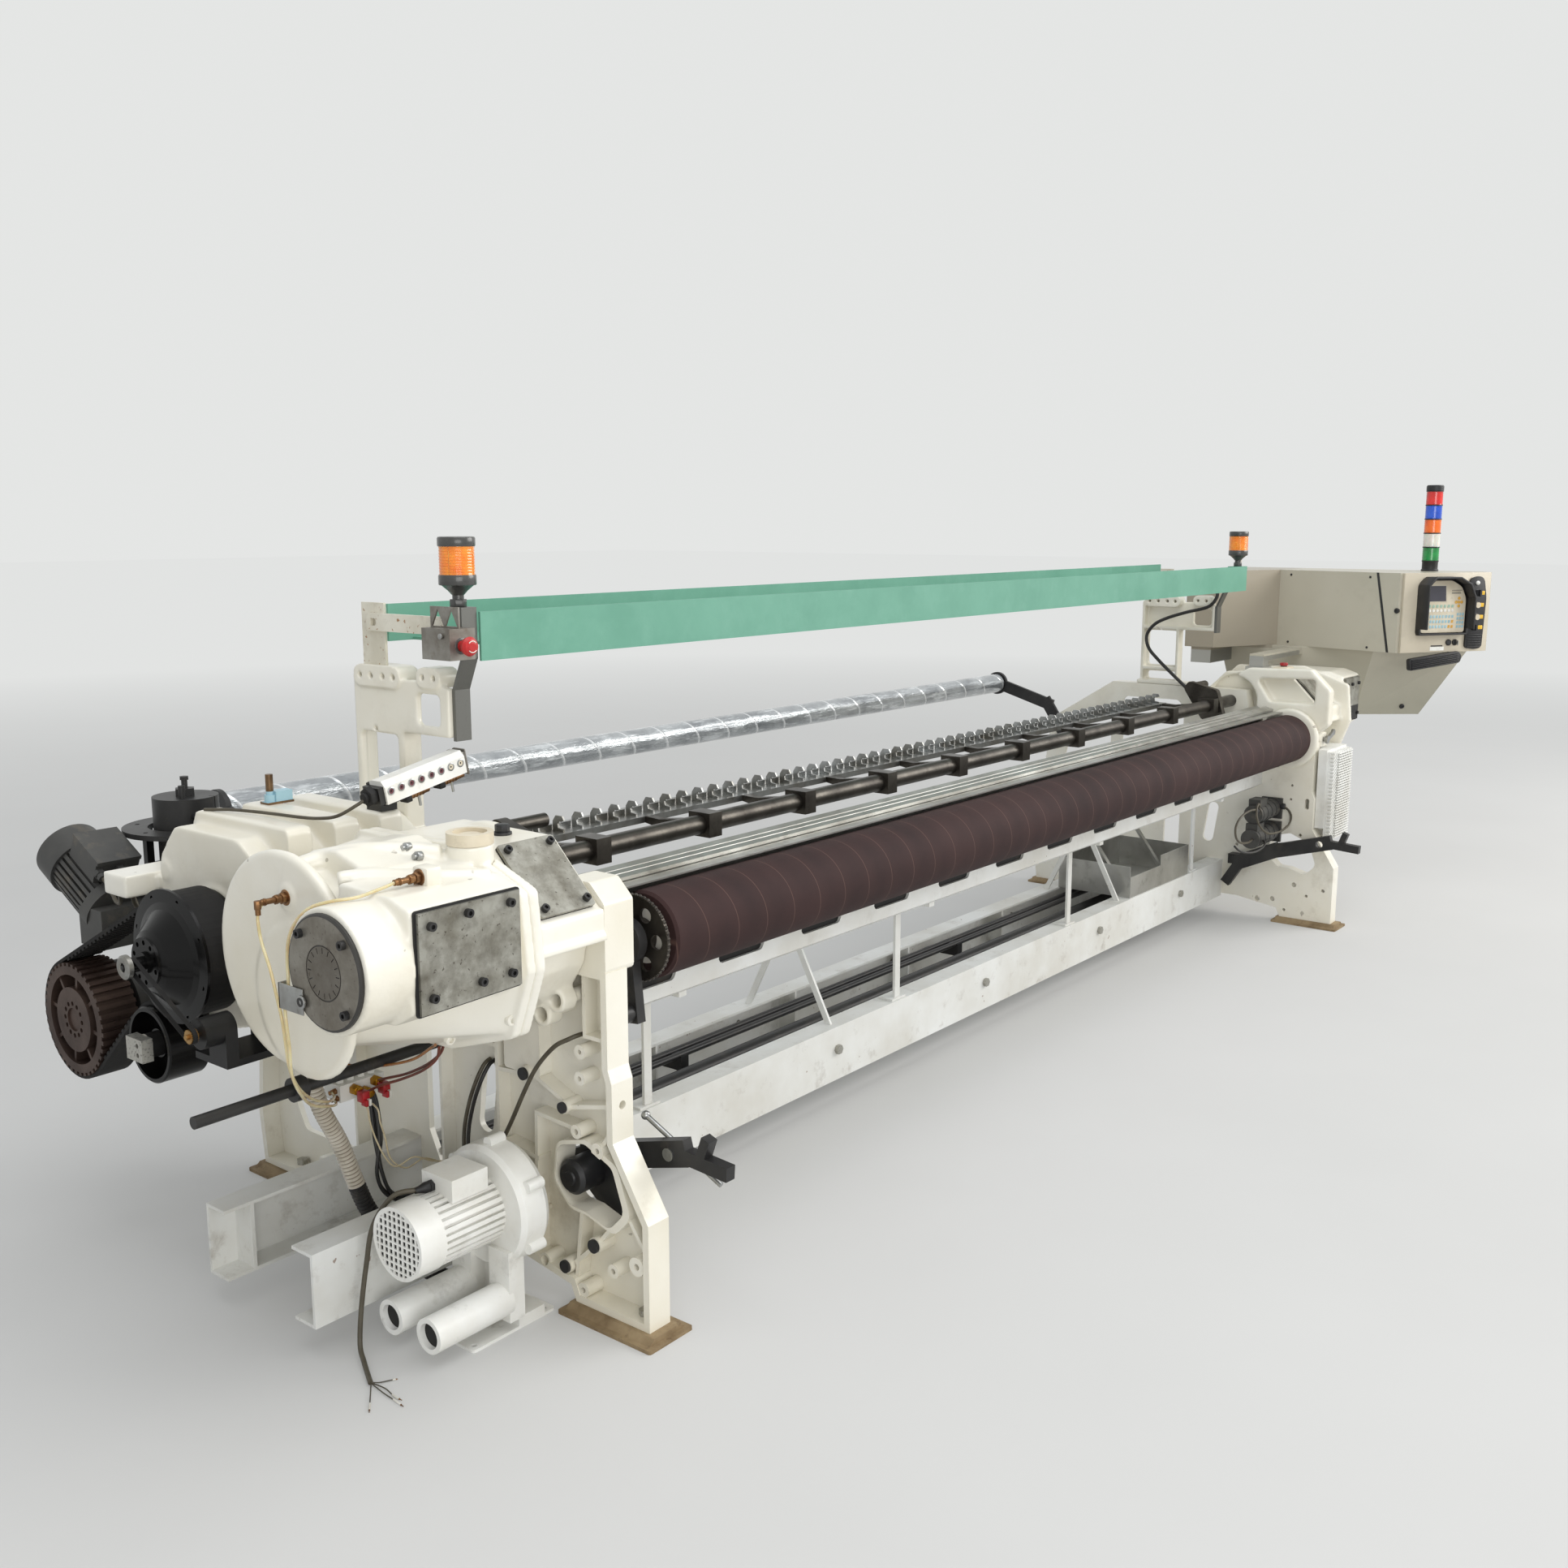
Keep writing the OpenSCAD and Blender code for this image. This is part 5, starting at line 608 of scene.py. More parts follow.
def sweep(build, path, radii, slots=0, sides=12):
    # a ring carried along a path in metres; radii in millimetres, one number or one a point
    radii = radii if isinstance(radii, list) else [radii] * len(path)
    slots = slots if isinstance(slots, list) else [slots] * len(path)
    ring = bmesh.ops.create_circle(build, cap_ends=True, segments=sides, radius=1)["verts"]
    verts, edges = ring, [e for e in build.edges if e.verts[0] in set(ring)]
    for face in ring[0].link_faces:
        face.material_index = slots[0]
    turn, last = None, Matrix.Identity(4)
    for i, place in enumerate(path):
        ahead = (path[min(i + 1, len(path) - 1)] - path[max(i - 1, 0)]).normalized()
        turn = (ahead.to_track_quat("Z", "Y") if turn is None
                else (turn @ Vector((0, 0, 1))).rotation_difference(ahead) @ turn)
        matrix = Matrix.Translation(place) @ turn.to_matrix().to_4x4() @ Matrix.Scale(radii[i] / 1000, 4)
        if i:
            made = bmesh.ops.extrude_edge_only(build, edges=edges)["geom"]
            verts = [g for g in made if isinstance(g, bmesh.types.BMVert)]
            edges = [g for g in made if isinstance(g, bmesh.types.BMEdge) and g.is_boundary]
            for vert in verts:
                for face in vert.link_faces:
                    face.material_index = slots[i]
        bmesh.ops.transform(build, matrix=matrix @ last.inverted(), verts=verts)
        last = matrix
    for face in bmesh.ops.contextual_create(build, geom=edges)["faces"]:
        face.material_index = slots[-1]


def shown(name, data):
    thing = bpy.data.objects.new(name, data)
    bpy.context.scene.collection.objects.link(thing)
    return thing


def pieceFrom(name, build, finishNames, body="loom", crease=35):
    bmesh.ops.remove_doubles(build, verts=build.verts, dist=1e-6)
    bmesh.ops.recalc_face_normals(build, faces=build.faces)
    mesh = bpy.data.meshes.new(name)
    build.to_mesh(mesh)
    build.free()
    mesh.polygons.foreach_set("use_smooth", [True] * len(mesh.polygons))
    mesh.set_sharp_from_angle(angle=math.radians(crease))
    for finish in finishNames:
        mesh.materials.append(finishes[finish])
    piece = shown(name, mesh)
    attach(piece, body)
    return piece


def wire(name, points, diameter, finish):
    # round cable as a curve through the points
    path = smoothPath(points)
    curve = bpy.data.curves.new(name, "CURVE")
    curve.dimensions = "3D"
    curve.bevel_depth = diameter / 2000
    curve.bevel_resolution = 3
    curve.use_fill_caps = True
    spline = curve.splines.new("POLY")
    spline.points.add(len(path) - 1)
    for point, place in zip(spline.points, path):
        point.co = (*place, 1)
    curve.materials.append(finishes[finish])
    cable = shown(name, curve)
    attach(cable, "loom")
    pathLength(path)


def softCasting(name, node, look):
    # cast part: the node's shape, with the extra bosses grown into it and every edge softened
    build = bmesh.new()
    build.from_mesh(loomNodes[node].data)
    bmesh.ops.remove_doubles(build, verts=build.verts, dist=1e-6)
    for shape in look.get("grown", []):
        turned(build, *shape)
    for path, radius in look.get("ridges", []):
        sweep(build, smoothPath(path, 5), radius, 0, 16)
    rough = bpy.data.meshes.new(name + "Rough")
    build.to_mesh(rough)
    build.free()
    holder = shown(name + "Rough", rough)
    remesh = holder.modifiers.new("remesh", "REMESH")
    remesh.mode = "VOXEL"
    remesh.voxel_size = look["voxel"] / 1000
    smooth = holder.modifiers.new("smooth", "SMOOTH")
    smooth.factor = 0.5
    smooth.iterations = look["rounds"]
    soft = bpy.data.meshes.new_from_object(holder.evaluated_get(bpy.context.evaluated_depsgraph_get()))
    bpy.data.objects.remove(holder)
    build = bmesh.new()
    build.from_mesh(soft)
    piece = pieceFrom(name, build, ["creamPaint"], crease=180)
    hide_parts(node)
    return piece


# Castings with the soft edges of poured iron; the cover also gets its moulded ridges and bosses
castingLooks = {
    "gearCoverCasting": ("left_gear_cover", {
        "voxel": 3.8, "rounds": 7,
        "grown": [((-2650, -268, 957), (-1, 0, 0), [(0, 0), (38, 0), (30, 10), (22, 16), (0, 16)]),
                  ((-2650, -300, 770), (-1, 0, 0), [(0, 0), (150, 0), (146, 14), (136, 17), (0, 17)])],
        "ridges": [([(-2640, -262, 1000), (-2600, -280, 1012), (-2540, -320, 1022), (-2480, -372, 1020),
                     (-2430, -410, 1012)], 22),
                   ([(-2640, -390, 1002), (-2590, -420, 1004), (-2540, -470, 1000), (-2440, -560, 996)], 16),
                   ([(-2630, -150, 700), (-2580, -180, 690), (-2500, -230, 690), (-2430, -300, 700)], 20)]}),
    "rearCaseCasting": ("rear_gear_case", {"voxel": 5.0, "rounds": 6}),
    "leftCaseCasting": ("left_gear_case", {"voxel": 4.6, "rounds": 5}),
    "rightCaseCasting": ("right_gear_case", {"voxel": 5.0, "rounds": 5}),
    "postCastings": ("post_castings", {"voxel": 3.6, "rounds": 3})}
for name, (node, look) in castingLooks.items():
    casting = softCasting(name, node, look)
    print(name, "has", len(casting.data.polygons), "faces")

# Suction hose: clear ribbed with painted shade between its ribs, black rubber end, held by a steel band at its top
hoseLook = {"diameter": 37, "rib": 0.0086, "foot": 15.4, "crown": 18.5, "rubberBelow": 0.252,
            "route": [(-2478, -30, 596), (-2477, -30, 520), (-2462, -34, 440), (-2424, -40, 350), (-2402, -50, 270),
                      (-2376, -60, 190), (-2330, -80, 110), (-2296, -126, 52), (-2290, -170, 45),
                      (-2290, -208, 44), (-2290, -241.5, 44)]}
hosePath = evenPath(smoothPath(hoseLook["route"], 12), hoseLook["rib"] / 4)
hoseRadii = [(hoseLook["foot"], hoseLook["crown"], hoseLook["crown"], hoseLook["foot"])[i % 4]
             for i in range(len(hosePath))]
hoseBuild = bmesh.new()
# every fourth ring, between the ribs, takes the painted shade of slot 2
hoseSlots = [1 if p.z < hoseLook["rubberBelow"] else 2 * int(i % 4 == 0) for i, p in enumerate(hosePath)]
sweep(hoseBuild, hosePath, hoseRadii, hoseSlots, sides=24)
suctionHose = pieceFrom("suctionHose", hoseBuild, ["clearHose", "hoseRubber", "hoseGroove"], crease=28)
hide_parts("suction_hose")
bandLook = {"place": (-2478, -30, 568), "profile": [(18.2, 0), (20.4, 0), (20.4, 12), (18.2, 12), (18.2, 0)],
            "lug": ((-2484, -58, 569), (12, 9, 10)), "screw": ((-2490, -54, 574), (1, 0, 0), 3, 22)}
hoseBandBuild = bmesh.new()
turned(hoseBandBuild, bandLook["place"], (0, 0, 1), bandLook["profile"])
block(hoseBandBuild, *bandLook["lug"], 0, 1)
rod(hoseBandBuild, *bandLook["screw"], 0, 12)
hoseBand = pieceFrom("hoseBand", hoseBandBuild, ["brightSteel"])
hoseRoute = [tuple(p) for p in hosePath[::4]] + [tuple(hosePath[-1])]
pathLength(hosePath)

# Blower cable: leaves the terminal box through a gland and ends bare on the floor, its four cores spread
cableLook = {"diameter": 10, "route": [(-2410.3, -318, 331), (-2440, -312, 331), (-2476, -282, 322),
                                       (-2502, -250, 262), (-2514, -238, 180), (-2528, -234, 90), (-2542, -244, 24),
                                       (-2560, -280, 8), (-2594, -346, 5.6)],
             "cores": [(-2652, -420), (-2590, -435), (-2550, -371), (-2601, -454)], "radii": (1.2, 1.9, 0.8)}
cablePath = smoothPath(cableLook["route"], 6)
cableBuild = bmesh.new()
sweep(cableBuild, cablePath, cableLook["diameter"] / 2, 0, sides=16)
blowerCable = pieceFrom("blowerCable", cableBuild, ["greyCable"], crease=60)
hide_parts("blower_cable")
glandLook = {"nut": ((-2409.5, -318, 331), (-1, 0, 0), 13, 9), "sleeve": ((-2418, -317, 331), (-1, 0.1, 0)),
             "profile": [(5.1, 0), (11, 0), (11, 8), (9, 14), (6.4, 24), (5.4, 30), (5.1, 30)]}
glandBuild = bmesh.new()
rod(glandBuild, *glandLook["nut"], 0, 6, edge=1)
turned(glandBuild, *glandLook["sleeve"], glandLook["profile"], 0, 24)
cableGland = pieceFrom("cableGland", glandBuild, ["blackPlastic"])
coreBuild = bmesh.new()
for i, (x, y) in enumerate(cableLook["cores"]):
    foot = (-2593 + 2 * math.cos(1.6 * i), -344 + 2 * math.sin(1.6 * i), 5.6 + 1.2 * math.cos(3.1 * i))
    bend = (foot[0] + (x - foot[0]) * 0.4 + 6 * math.sin(2 * i), foot[1] + (y - foot[1]) * 0.4, 3.4)
    corePath = smoothPath([foot, bend, (x + (foot[0] - x) * 0.25, y + (foot[1] - y) * 0.25, 2.2), (x, y, 2.0)], 5)
    # insulated core, then its sleeve, then two points of bare strands
    whole, sleeve = len(corePath), 2 if i == 2 else 4
    coreSlots = [0] * (whole - sleeve - 2) + [1] * sleeve + [2] * 2
    sweep(coreBuild, corePath, [cableLook["radii"][slot] for slot in coreSlots], coreSlots, sides=8)
cableCores = pieceFrom("cableCores", coreBuild, ["greyCable", "whiteSleeve", "oldBrass"])
pathLength(cablePath)
print("hose and blower cable done")

# Oil tubes on the gear cover, clear plastic from two brass fittings down to the manifold
tubeLook = {"diameter": 6,
            "upper": [(-2690, -268, 957), (-2704, -268, 956.5), (-2716, -268, 951), (-2723, -269, 938),
                      (-2725, -271, 922), (-2730, -286, 892), (-2743, -329, 852),
                      (-2752, -357, 815), (-2757, -378, 774), (-2750, -374, 723), (-2735, -358, 675),
                      (-2690, -312, 617), (-2600, -217, 544), (-2510, -135, 491), (-2445, -60, 462),
                      (-2420, -14, 452)],
            "barrel": [(-2622, -525, 1014), (-2650, -522, 1008), (-2690, -512, 1000), (-2722, -488, 996),
                       (-2742, -456, 984), (-2748, -424, 958), (-2750, -402, 925), (-2750, -393, 886),
                       (-2753, -396, 840), (-2757, -389, 800), (-2758, -392, 770), (-2751, -386, 723),
                       (-2737, -366, 670), (-2692, -318, 610), (-2604, -220, 534), (-2510, -138, 482),
                       (-2448, -70, 450), (-2420, -20, 438)]}
wire("oilTubeUpper", tubeLook["upper"], tubeLook["diameter"], "oilTube")
wire("oilTubeBarrel", tubeLook["barrel"], tubeLook["diameter"], "oilTube")
# Brass fittings of both tubes, stepped from the cover outwards, and two studs beside the oil cap
fitLook = {"places": ((-2662, -268, 957, 58), (-2566, -525, 1014, 56)),
           # distance out, radius, length, sides and edge of each step
           "steps": ((-1, 15, 6, 24, 1), (4, 11, 10, 6, 1), (14, 7.5, 6, 20, 0), (19, 9, 7, 6, 0.6)),
           "neck": (26, 5.5), "tip": [(0, 0), (6.5, 0), (7, 3), (5, 4), (6.5, 7), (4.6, 8), (5.6, 12), (0, 14)],
           "elbow": (-2722, -268, 962), "boss": ((-2569, -546, 996), (34, 42, 36)),
           "seat": ((-2660, -268, 957), (-1, 0, 0), 19, 1), "studs": ((-384, 1033), (-416, 1021)), "studX": -2478}
fitBuild = bmesh.new()
neckOut, neckRadius = fitLook["neck"]
for x, y, z, reach in fitLook["places"]:
    for out, radius, length, sides, edge in fitLook["steps"]:
        rod(fitBuild, (x - out, y, z), (-1, 0, 0), radius, length, 0, sides, edge=edge)
    rod(fitBuild, (x - neckOut, y, z), (-1, 0, 0), neckRadius, reach - neckOut, 0, 20)
    turned(fitBuild, (x - reach + 14, y, z), (-1, 0, 0), fitLook["tip"], 0, 20)
x, y, z = fitLook["elbow"]
rod(fitBuild, (x, y, z), (0, 0, -1), 6.5, 16, 0, 6, edge=0.6)
rod(fitBuild, (x, y, z - 14), (0, 0, -1), 5, 12, 0, 20)
block(fitBuild, *fitLook["boss"], 1, 6)
rod(fitBuild, *fitLook["seat"], 1, 32)
for y, z in fitLook["studs"]:
    rod(fitBuild, (fitLook["studX"], y, z), (-1, 0, 0.1), 9, 12, 2, 20, edge=1)
    rod(fitBuild, (fitLook["studX"] - 12, y, z + 1), (-1, 0, 0.1), 5, 6, 2, 16)
pieceFrom("coverFittings", fitBuild, ["oldBrass", "creamPaint", "brightSteel"])

# Steel clip that holds both tubes under a screw of the round plate
clipLook = {"parts": (((-2764, -452, 800), (2.5, 70, 46)), ((-2764, -386, 800), (16, 4, 46))),
            "screw": (-2764, -450.604, 824.604), "edge": 0.8}
clipBuild = bmesh.new()
for low, size in clipLook["parts"]:
    block(clipBuild, low, size, 0, clipLook["edge"])
rod(clipBuild, clipLook["screw"], (-1, 0, 0), 12, 4, 0, 24, edge=clipLook["edge"])
pieceFrom("tubeClip", clipBuild, ["brightSteel"])

# Fittings and coil connectors on the oil manifold, with the cables that come down to it
manifoldLook = {"ends": ((-2409, -14, 452), (-2409, -20, 438)),
                "tip": [(0, 0), (5, 0), (5.5, 4), (4, 5), (5, 9), (3.4, 10), (0, 12)],
                "coils": (((-2378, -31, 452), True), ((-2352, -31, 440), False), ((-2326, -31, 456), True)),
                # corner from the coil, size, slot and edge
                "plug": (((-9, -44, -20), (18, 22, 24), 2, 2), ((-7, -52, -26), (6, 18, 14), 2, 1),
                         ((1, -52, -26), (6, 18, 14), 3, 1))}
manifoldBuild = bmesh.new()
for x, y, z in manifoldLook["ends"]:
    rod(manifoldBuild, (x, y, z), (-1, 0, 0), 7, 7, 0, 6, edge=0.5)
    turned(manifoldBuild, (x - 7, y, z), (-1, 0, 0), manifoldLook["tip"], 0, 16)
for (x, y, z), plugged in manifoldLook["coils"]:
    rod(manifoldBuild, (x, y, z), (0, -1, 0), 12, 20, 1, 6, edge=1)
    rod(manifoldBuild, (x, y - 19, z), (0, -1, 0), 9, 6, 1, 20, edge=1)
    if plugged:
        for (across, back, up), size, slot, edge in manifoldLook["plug"]:
            block(manifoldBuild, (x + across, y + back, z + up), size, slot, edge)
pieceFrom("manifoldFittings", manifoldBuild, ["oldBrass", "goldBrass", "plugRed", "whiteSleeve"])
feedLook = {"diameter": 6, "routes": {
    "feedRedA": ("redCable", [(-2330, -52, 462), (-2334, -88, 476), (-2340, -160, 504), (-2352, -240, 544),
                              (-2372, -310, 588), (-2392, -350, 622)]),
    "feedRedB": ("redCable", [(-2356, -52, 446), (-2352, -90, 466), (-2350, -160, 496), (-2358, -240, 536),
                              (-2376, -306, 580), (-2400, -346, 618)]),
    "feedAmber": ("amberTube", [(-2396, -10, 490), (-2398, -30, 510), (-2396, -90, 520), (-2390, -170, 540),
                                (-2388, -250, 570), (-2400, -320, 612), (-2412, -350, 628)])}}
for name, (finish, route) in feedLook["routes"].items():
    wire(name, route, feedLook["diameter"], finish)
coilLook = {"diameter": 3.6, "starts": ((-2378, 430), (-2352, 418)), "end": -2166}
for i, (x, z) in enumerate(coilLook["starts"]):
    wire("coilWire" + "AB"[i], [
        (x, -57, z), (x, -76, z - 10), (x, -81, z - 34), (x + 8, -84, z - 70), (x + 26 - 10 * i, -90, z - 120),
        (x + 50, -96, z - 150), (x + 90, -104, z - 140), (x + 130, -112, z - 160), (x + 168, -118, z - 172),
        (coilLook["end"], -122, z - 180)], coilLook["diameter"], "creamCable")

# Dark bundle behind the blower, and the cables that pass through the frame's long hole
bundleLook = {"diameter": 8, "spread": 7, "step": 1.7}
for i in range(4):
    s = bundleLook["spread"] * math.sin(bundleLook["step"] * i)
    c = bundleLook["spread"] * math.cos(bundleLook["step"] * i)
    wire("bundle" + "ABCD"[i], [
        (-2320 + s, c, 428), (-2322 + s, -20 + c, 400), (-2334 + s, -46 + c, 330), (-2344 + c, -58 + s, 262),
        (-2330 + c, -66 + s, 214), (-2290 + s, -72 + c, 190 + c), (-2240 + s, -86 + c, 196 + c),
        (-2190, -100 + c, 214 + s), (-2146, -112 + c, 226 + s)], bundleLook["diameter"], "blackCable")
holeLook = {"diameter": 9, "cables": {"holeCableA": (-150, "greyCable"), "holeCableB": (-164, "blackCable")}}
for name, (y, finish) in holeLook["cables"].items():
    wire(name, [(-2112, y - 4, 470), (-2130, y - 4, 462), (-2150, y, 430), (-2158, y + 16, 380),
                (-2164, y + 28, 320), (-2172, y + 22, 270), (-2176, y + 8, 220), (-2170, y, 176),
                (-2150, y - 2, 150)], holeLook["diameter"], finish)
frameLook = {"diameter": 9.5, "route": [(-2110, -452, 590), (-2136, -462, 598), (-2160, -452, 592),
                                        (-2170, -419, 571), (-2172, -368, 517), (-2173, -329, 455),
                                        (-2173, -288, 382), (-2172, -247, 316), (-2168, -214, 274),
                                        (-2160, -190, 236), (-2148, -176, 206)]}
wire("frameCable", frameLook["route"], frameLook["diameter"], "greyCable")
print("tubes and frame cables done")

# Beacons: clear amber glass between dark caps, on a hex foot
beaconLook = {"places": [(-2124, -117, 1446.05), (1995, -132, 1436.05)], "glassLow": 65, "glassHigh": 125,
              "glass": 36.8, "groove": 36.2,
              "foot": [(12, 15), (12, 24), (14, 26), (20, 33), (33, 44), (38, 45), (39, 47), (39, 63), (38, 66),
                       (30, 66)],
              "cap": [(30, 124), (38, 124), (39, 126), (39, 140), (37.5, 143), (33, 144), (0, 144)]}
beaconBuild = bmesh.new()
for x, y, z in beaconLook["places"]:
    rod(beaconBuild, (x, y, z), (0, 0, 1), 18, 16, 0, 6, edge=1.5)
    low, high, glass, groove = (beaconLook[key] for key in ("glassLow", "glassHigh", "glass", "groove"))
    ribs = [(20, low), (glass, low)]
    for i in range(9):
        foot = low + 3 + i * (high - low - 6) / 9
        ribs += [(glass, foot), (groove, foot + 1.5), (groove, foot + 3.5), (glass, foot + 5)]
    ribs += [(glass, high), (20, high)]
    for profile, slot in ((beaconLook["foot"], 0), (ribs, 1), (beaconLook["cap"], 0)):
        turned(beaconBuild, (x, y, z), (0, 0, 1), profile, slot, 40)
    for i in range(4):
        angle = math.radians(25 + 90 * i)
        block(beaconBuild, (x + groove * math.cos(angle) - 1.2, y + groove * math.sin(angle) - 1.2, z + 64),
              (2.4, 2.4, 62), 1, 0.5)
beacons = pieceFrom("warningBeacons", beaconBuild, ["greyPlastic", "paleAmber"])
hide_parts("beacons")

# Signal tower: five lenses with a groove between each, on a black foot
towerLook = {"place": (2700, -704, 1410.05), "segment": 59,
             "lenses": ["greenLens", "whiteLens", "amberLens", "blueLens", "redLens"],
             "foot": [(0, 0), (35, 0), (35, 6), (32, 9), (32, 38), (34, 41), (34, 45), (20, 45)],
             "cap": [(20, 340), (34.8, 340), (34.8, 358), (31, 363), (0, 364)]}
towerBuild = bmesh.new()
towerShapes = [(towerLook["foot"], 0)]
for i in range(5):
    z = 45 + i * towerLook["segment"]
    steps = [(33.6 - 0.7 * (k % 2), z + 3 + 4.5 * k) for k in range(12)]
    towerShapes += [([(20, z), (33, z)] + steps + [(33.6, z + 55)], i + 1),
                    ([(33, z + 54), (34.8, z + 55), (34.8, z + 58), (33, z + 59), (20, z + 59)], 0)]
towerShapes.append((towerLook["cap"], 0))
for profile, slot in towerShapes:
    turned(towerBuild, towerLook["place"], (0, 0, 1), profile, slot, 36)
tower = pieceFrom("signalTower", towerBuild, ["blackPlastic"] + towerLook["lenses"])
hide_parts("signal_tower")

# Screen unit in the panel's own plane: u to the right, v up, w outwards
panelLook = {"place": (2532.5, -820, 1245), "turn": -34.735, "keyPitch": 19, "keyLow": 31.5,
             "knobs": (80, 30, -20)}
onPanel = (Matrix.Translation(mm(*panelLook["place"])) @ Matrix.Rotation(math.radians(panelLook["turn"]), 4, "Z")
           @ Matrix.Rotation(math.radians(90), 4, "X"))
panelBuild = bmesh.new()
panelSheets = (
    # outline, thickness, slot, edge, height, corner, wall
    ([(-216, -165), (216, -165), (216, 165), (-216, 165)], 14, 0, 2, 0, 0, 0),
    ([(-150, -92), (92, -92), (92, 66), (64, 122), (10, 150), (-116, 150), (-150, 118)], 6, 1, 0, 14, 16, 0),
    ([(-150, -66), (-142, -66), (-142, 112), (-112, 142), (8, 142), (58, 116), (84, 64), (84, -66), (92, -66),
      (92, 66), (64, 122), (10, 150), (-116, 150), (-150, 118)], 64, 1, 1.5, 18, 2, 0),
    ([(-150, -92), (92, -92), (92, -64), (84, -64), (84, -84), (-142, -84), (-142, -64), (-150, -64)],
     22, 1, 1.5, 18, 2, 0),
    ([(-138, -82), (80, -82), (80, 60), (56, 108), (6, 134), (-138, 134)], 12, 2, 1.5, 20, 12, 0),
    ([(-116, 44), (-16, 44), (-22, 116), (-114, 116)], 1.4, 0, 0.5, 31.6, 3, 4),
    ([(-112, 48), (-20, 48), (-25, 112), (-110, 112)], 0.8, 3, 0, 31.6, 2, 0))
for outline, thick, slot, edge, low, corner, wall in panelSheets:
    plate(panelBuild, outline, thick, slot, edge, onPanel, low, corner, wall)


def slantedKey(u, v, wide, high, lean, slot):
    # flat key that leans to the right
    plate(panelBuild, [(u, v), (u + wide, v), (u + wide + lean, v + high), (u + lean, v + high)], 2, slot, 0.5,
          onPanel, panelLook["keyLow"])


for i in range(8):
    u = -126 + panelLook["keyPitch"] * i
    slantedKey(u, 22, 12, 12, 2, 4)
    rod(panelBuild, (u + 7, 10, panelLook["keyLow"]), (0, 0, 1), 6.6, 3, 5, 16, edge=0.8, turn=onPanel)
for row, v in enumerate((-16, -37, -58)):
    for i in range(10):
        gold = i == 0 or (row == 2 and i > 7) or (row == 1 and i == 9)
        slantedKey(-128 + 15.4 * i, v - 5, 10, 12, 2, 7 if gold else 6)
for i in range(3):
    for v in (-58, -41, -24, -7):
        slantedKey(38 + 13 * i, v - 5, 9, 11, 1, 6)
for u, v in ((44, 60), (44, 28), (30, 44), (58, 44), (44, 44)):
    rod(panelBuild, (u, v, panelLook["keyLow"]), (0, 0, 1), 7, 2.6, 7, 6, edge=0.6, turn=onPanel)
for v, wide in ((92, 50), (84, 44), (79, 46)):
    block(panelBuild, (6, v, 31.7), (wide, 2.4, 0.5), 8, 0, onPanel)
# Knob column, its lamp, yellow labels and the ribs at its foot
column = [(98, -150), (150, -156), (184, -150), (192, 60), (176, 140), (150, 152), (104, 140)]
plate(panelBuild, column, 9, 1, 1.5, onPanel, low=14, corner=14)
for i in range(6):
    block(panelBuild, (106, -146 + 10 * i, 22), (72, 4, 4), 1, 1.2, onPanel)
for v in panelLook["knobs"] + (-64,):
    label = [(158, v - 8), (180, v - 8), (180, v + 8), (158, v + 8)]
    plate(panelBuild, label, 1.2, 9, 0.4, onPanel, low=22.8, corner=3)
for v in panelLook["knobs"]:
    ring = [(10.2, -0.5), (15, 0), (15, 3), (12.5, 4), (10.2, 4)]
    turned(panelBuild, (140, v, 22), (0, 0, 1), ring, 1, 24, onPanel)
turned(panelBuild, (140, 122, 22), (0, 0, 1), [(0, -0.5), (9, 0), (9, 5), (6, 9), (0, 11)], 5, 20, onPanel)
turned(panelBuild, (136, -64, 22), (0, 0, 1), [(0, -0.5), (13, 0), (13, 10), (11, 13), (0, 14)], 1, 24, onPanel)
block(panelBuild, (134, -76, 34), (4, 24, 8), 1, 1, onPanel)
# Two key switches, one with its key in it; blank label; ribbed rubber rest
for u in (20, 52):
    turned(panelBuild, (u, -125, 13), (0, 0, 1), [(0, 0), (13, 0), (13, 6), (10, 9), (0, 9)], 1, 28, onPanel)
block(panelBuild, (50, -136, 21), (3, 20, 18), 10, 1, onPanel)
plate(panelBuild, [(-70, -158), (0, -158), (0, -142), (-70, -142)], 0.8, 5, 0, onPanel, low=14)
plate(panelBuild, [(-66, -141), (-8, -141), (-8, -136), (-66, -136)], 0.8, 1, 0, onPanel, low=14)
restTurn = onPanel @ Matrix.Translation(mm(-170, -240, 2)) @ Matrix.Rotation(math.radians(6.8), 4, "Z")
plate(panelBuild, [(0, 0), (250, 0), (262, 26), (246, 50), (0, 50)], 24, 1, 3, restTurn, corner=9)
for i in range(6):
    block(panelBuild, (7, 3.5 + i * 7.6, 22), (236, 4.4, 8), 1, 1.8, restTurn)
screenUnit = pieceFrom("screenUnit", panelBuild, [
    "panelSheet", "blackPlastic", "creamPlastic", "screenGlass", "keyGreen", "keyWhite", "keyBlue", "keyAmber",
    "greyPlastic", "labelYellow", "brightSteel"])
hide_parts("control_panel")
print("beacons, tower and screen unit done")
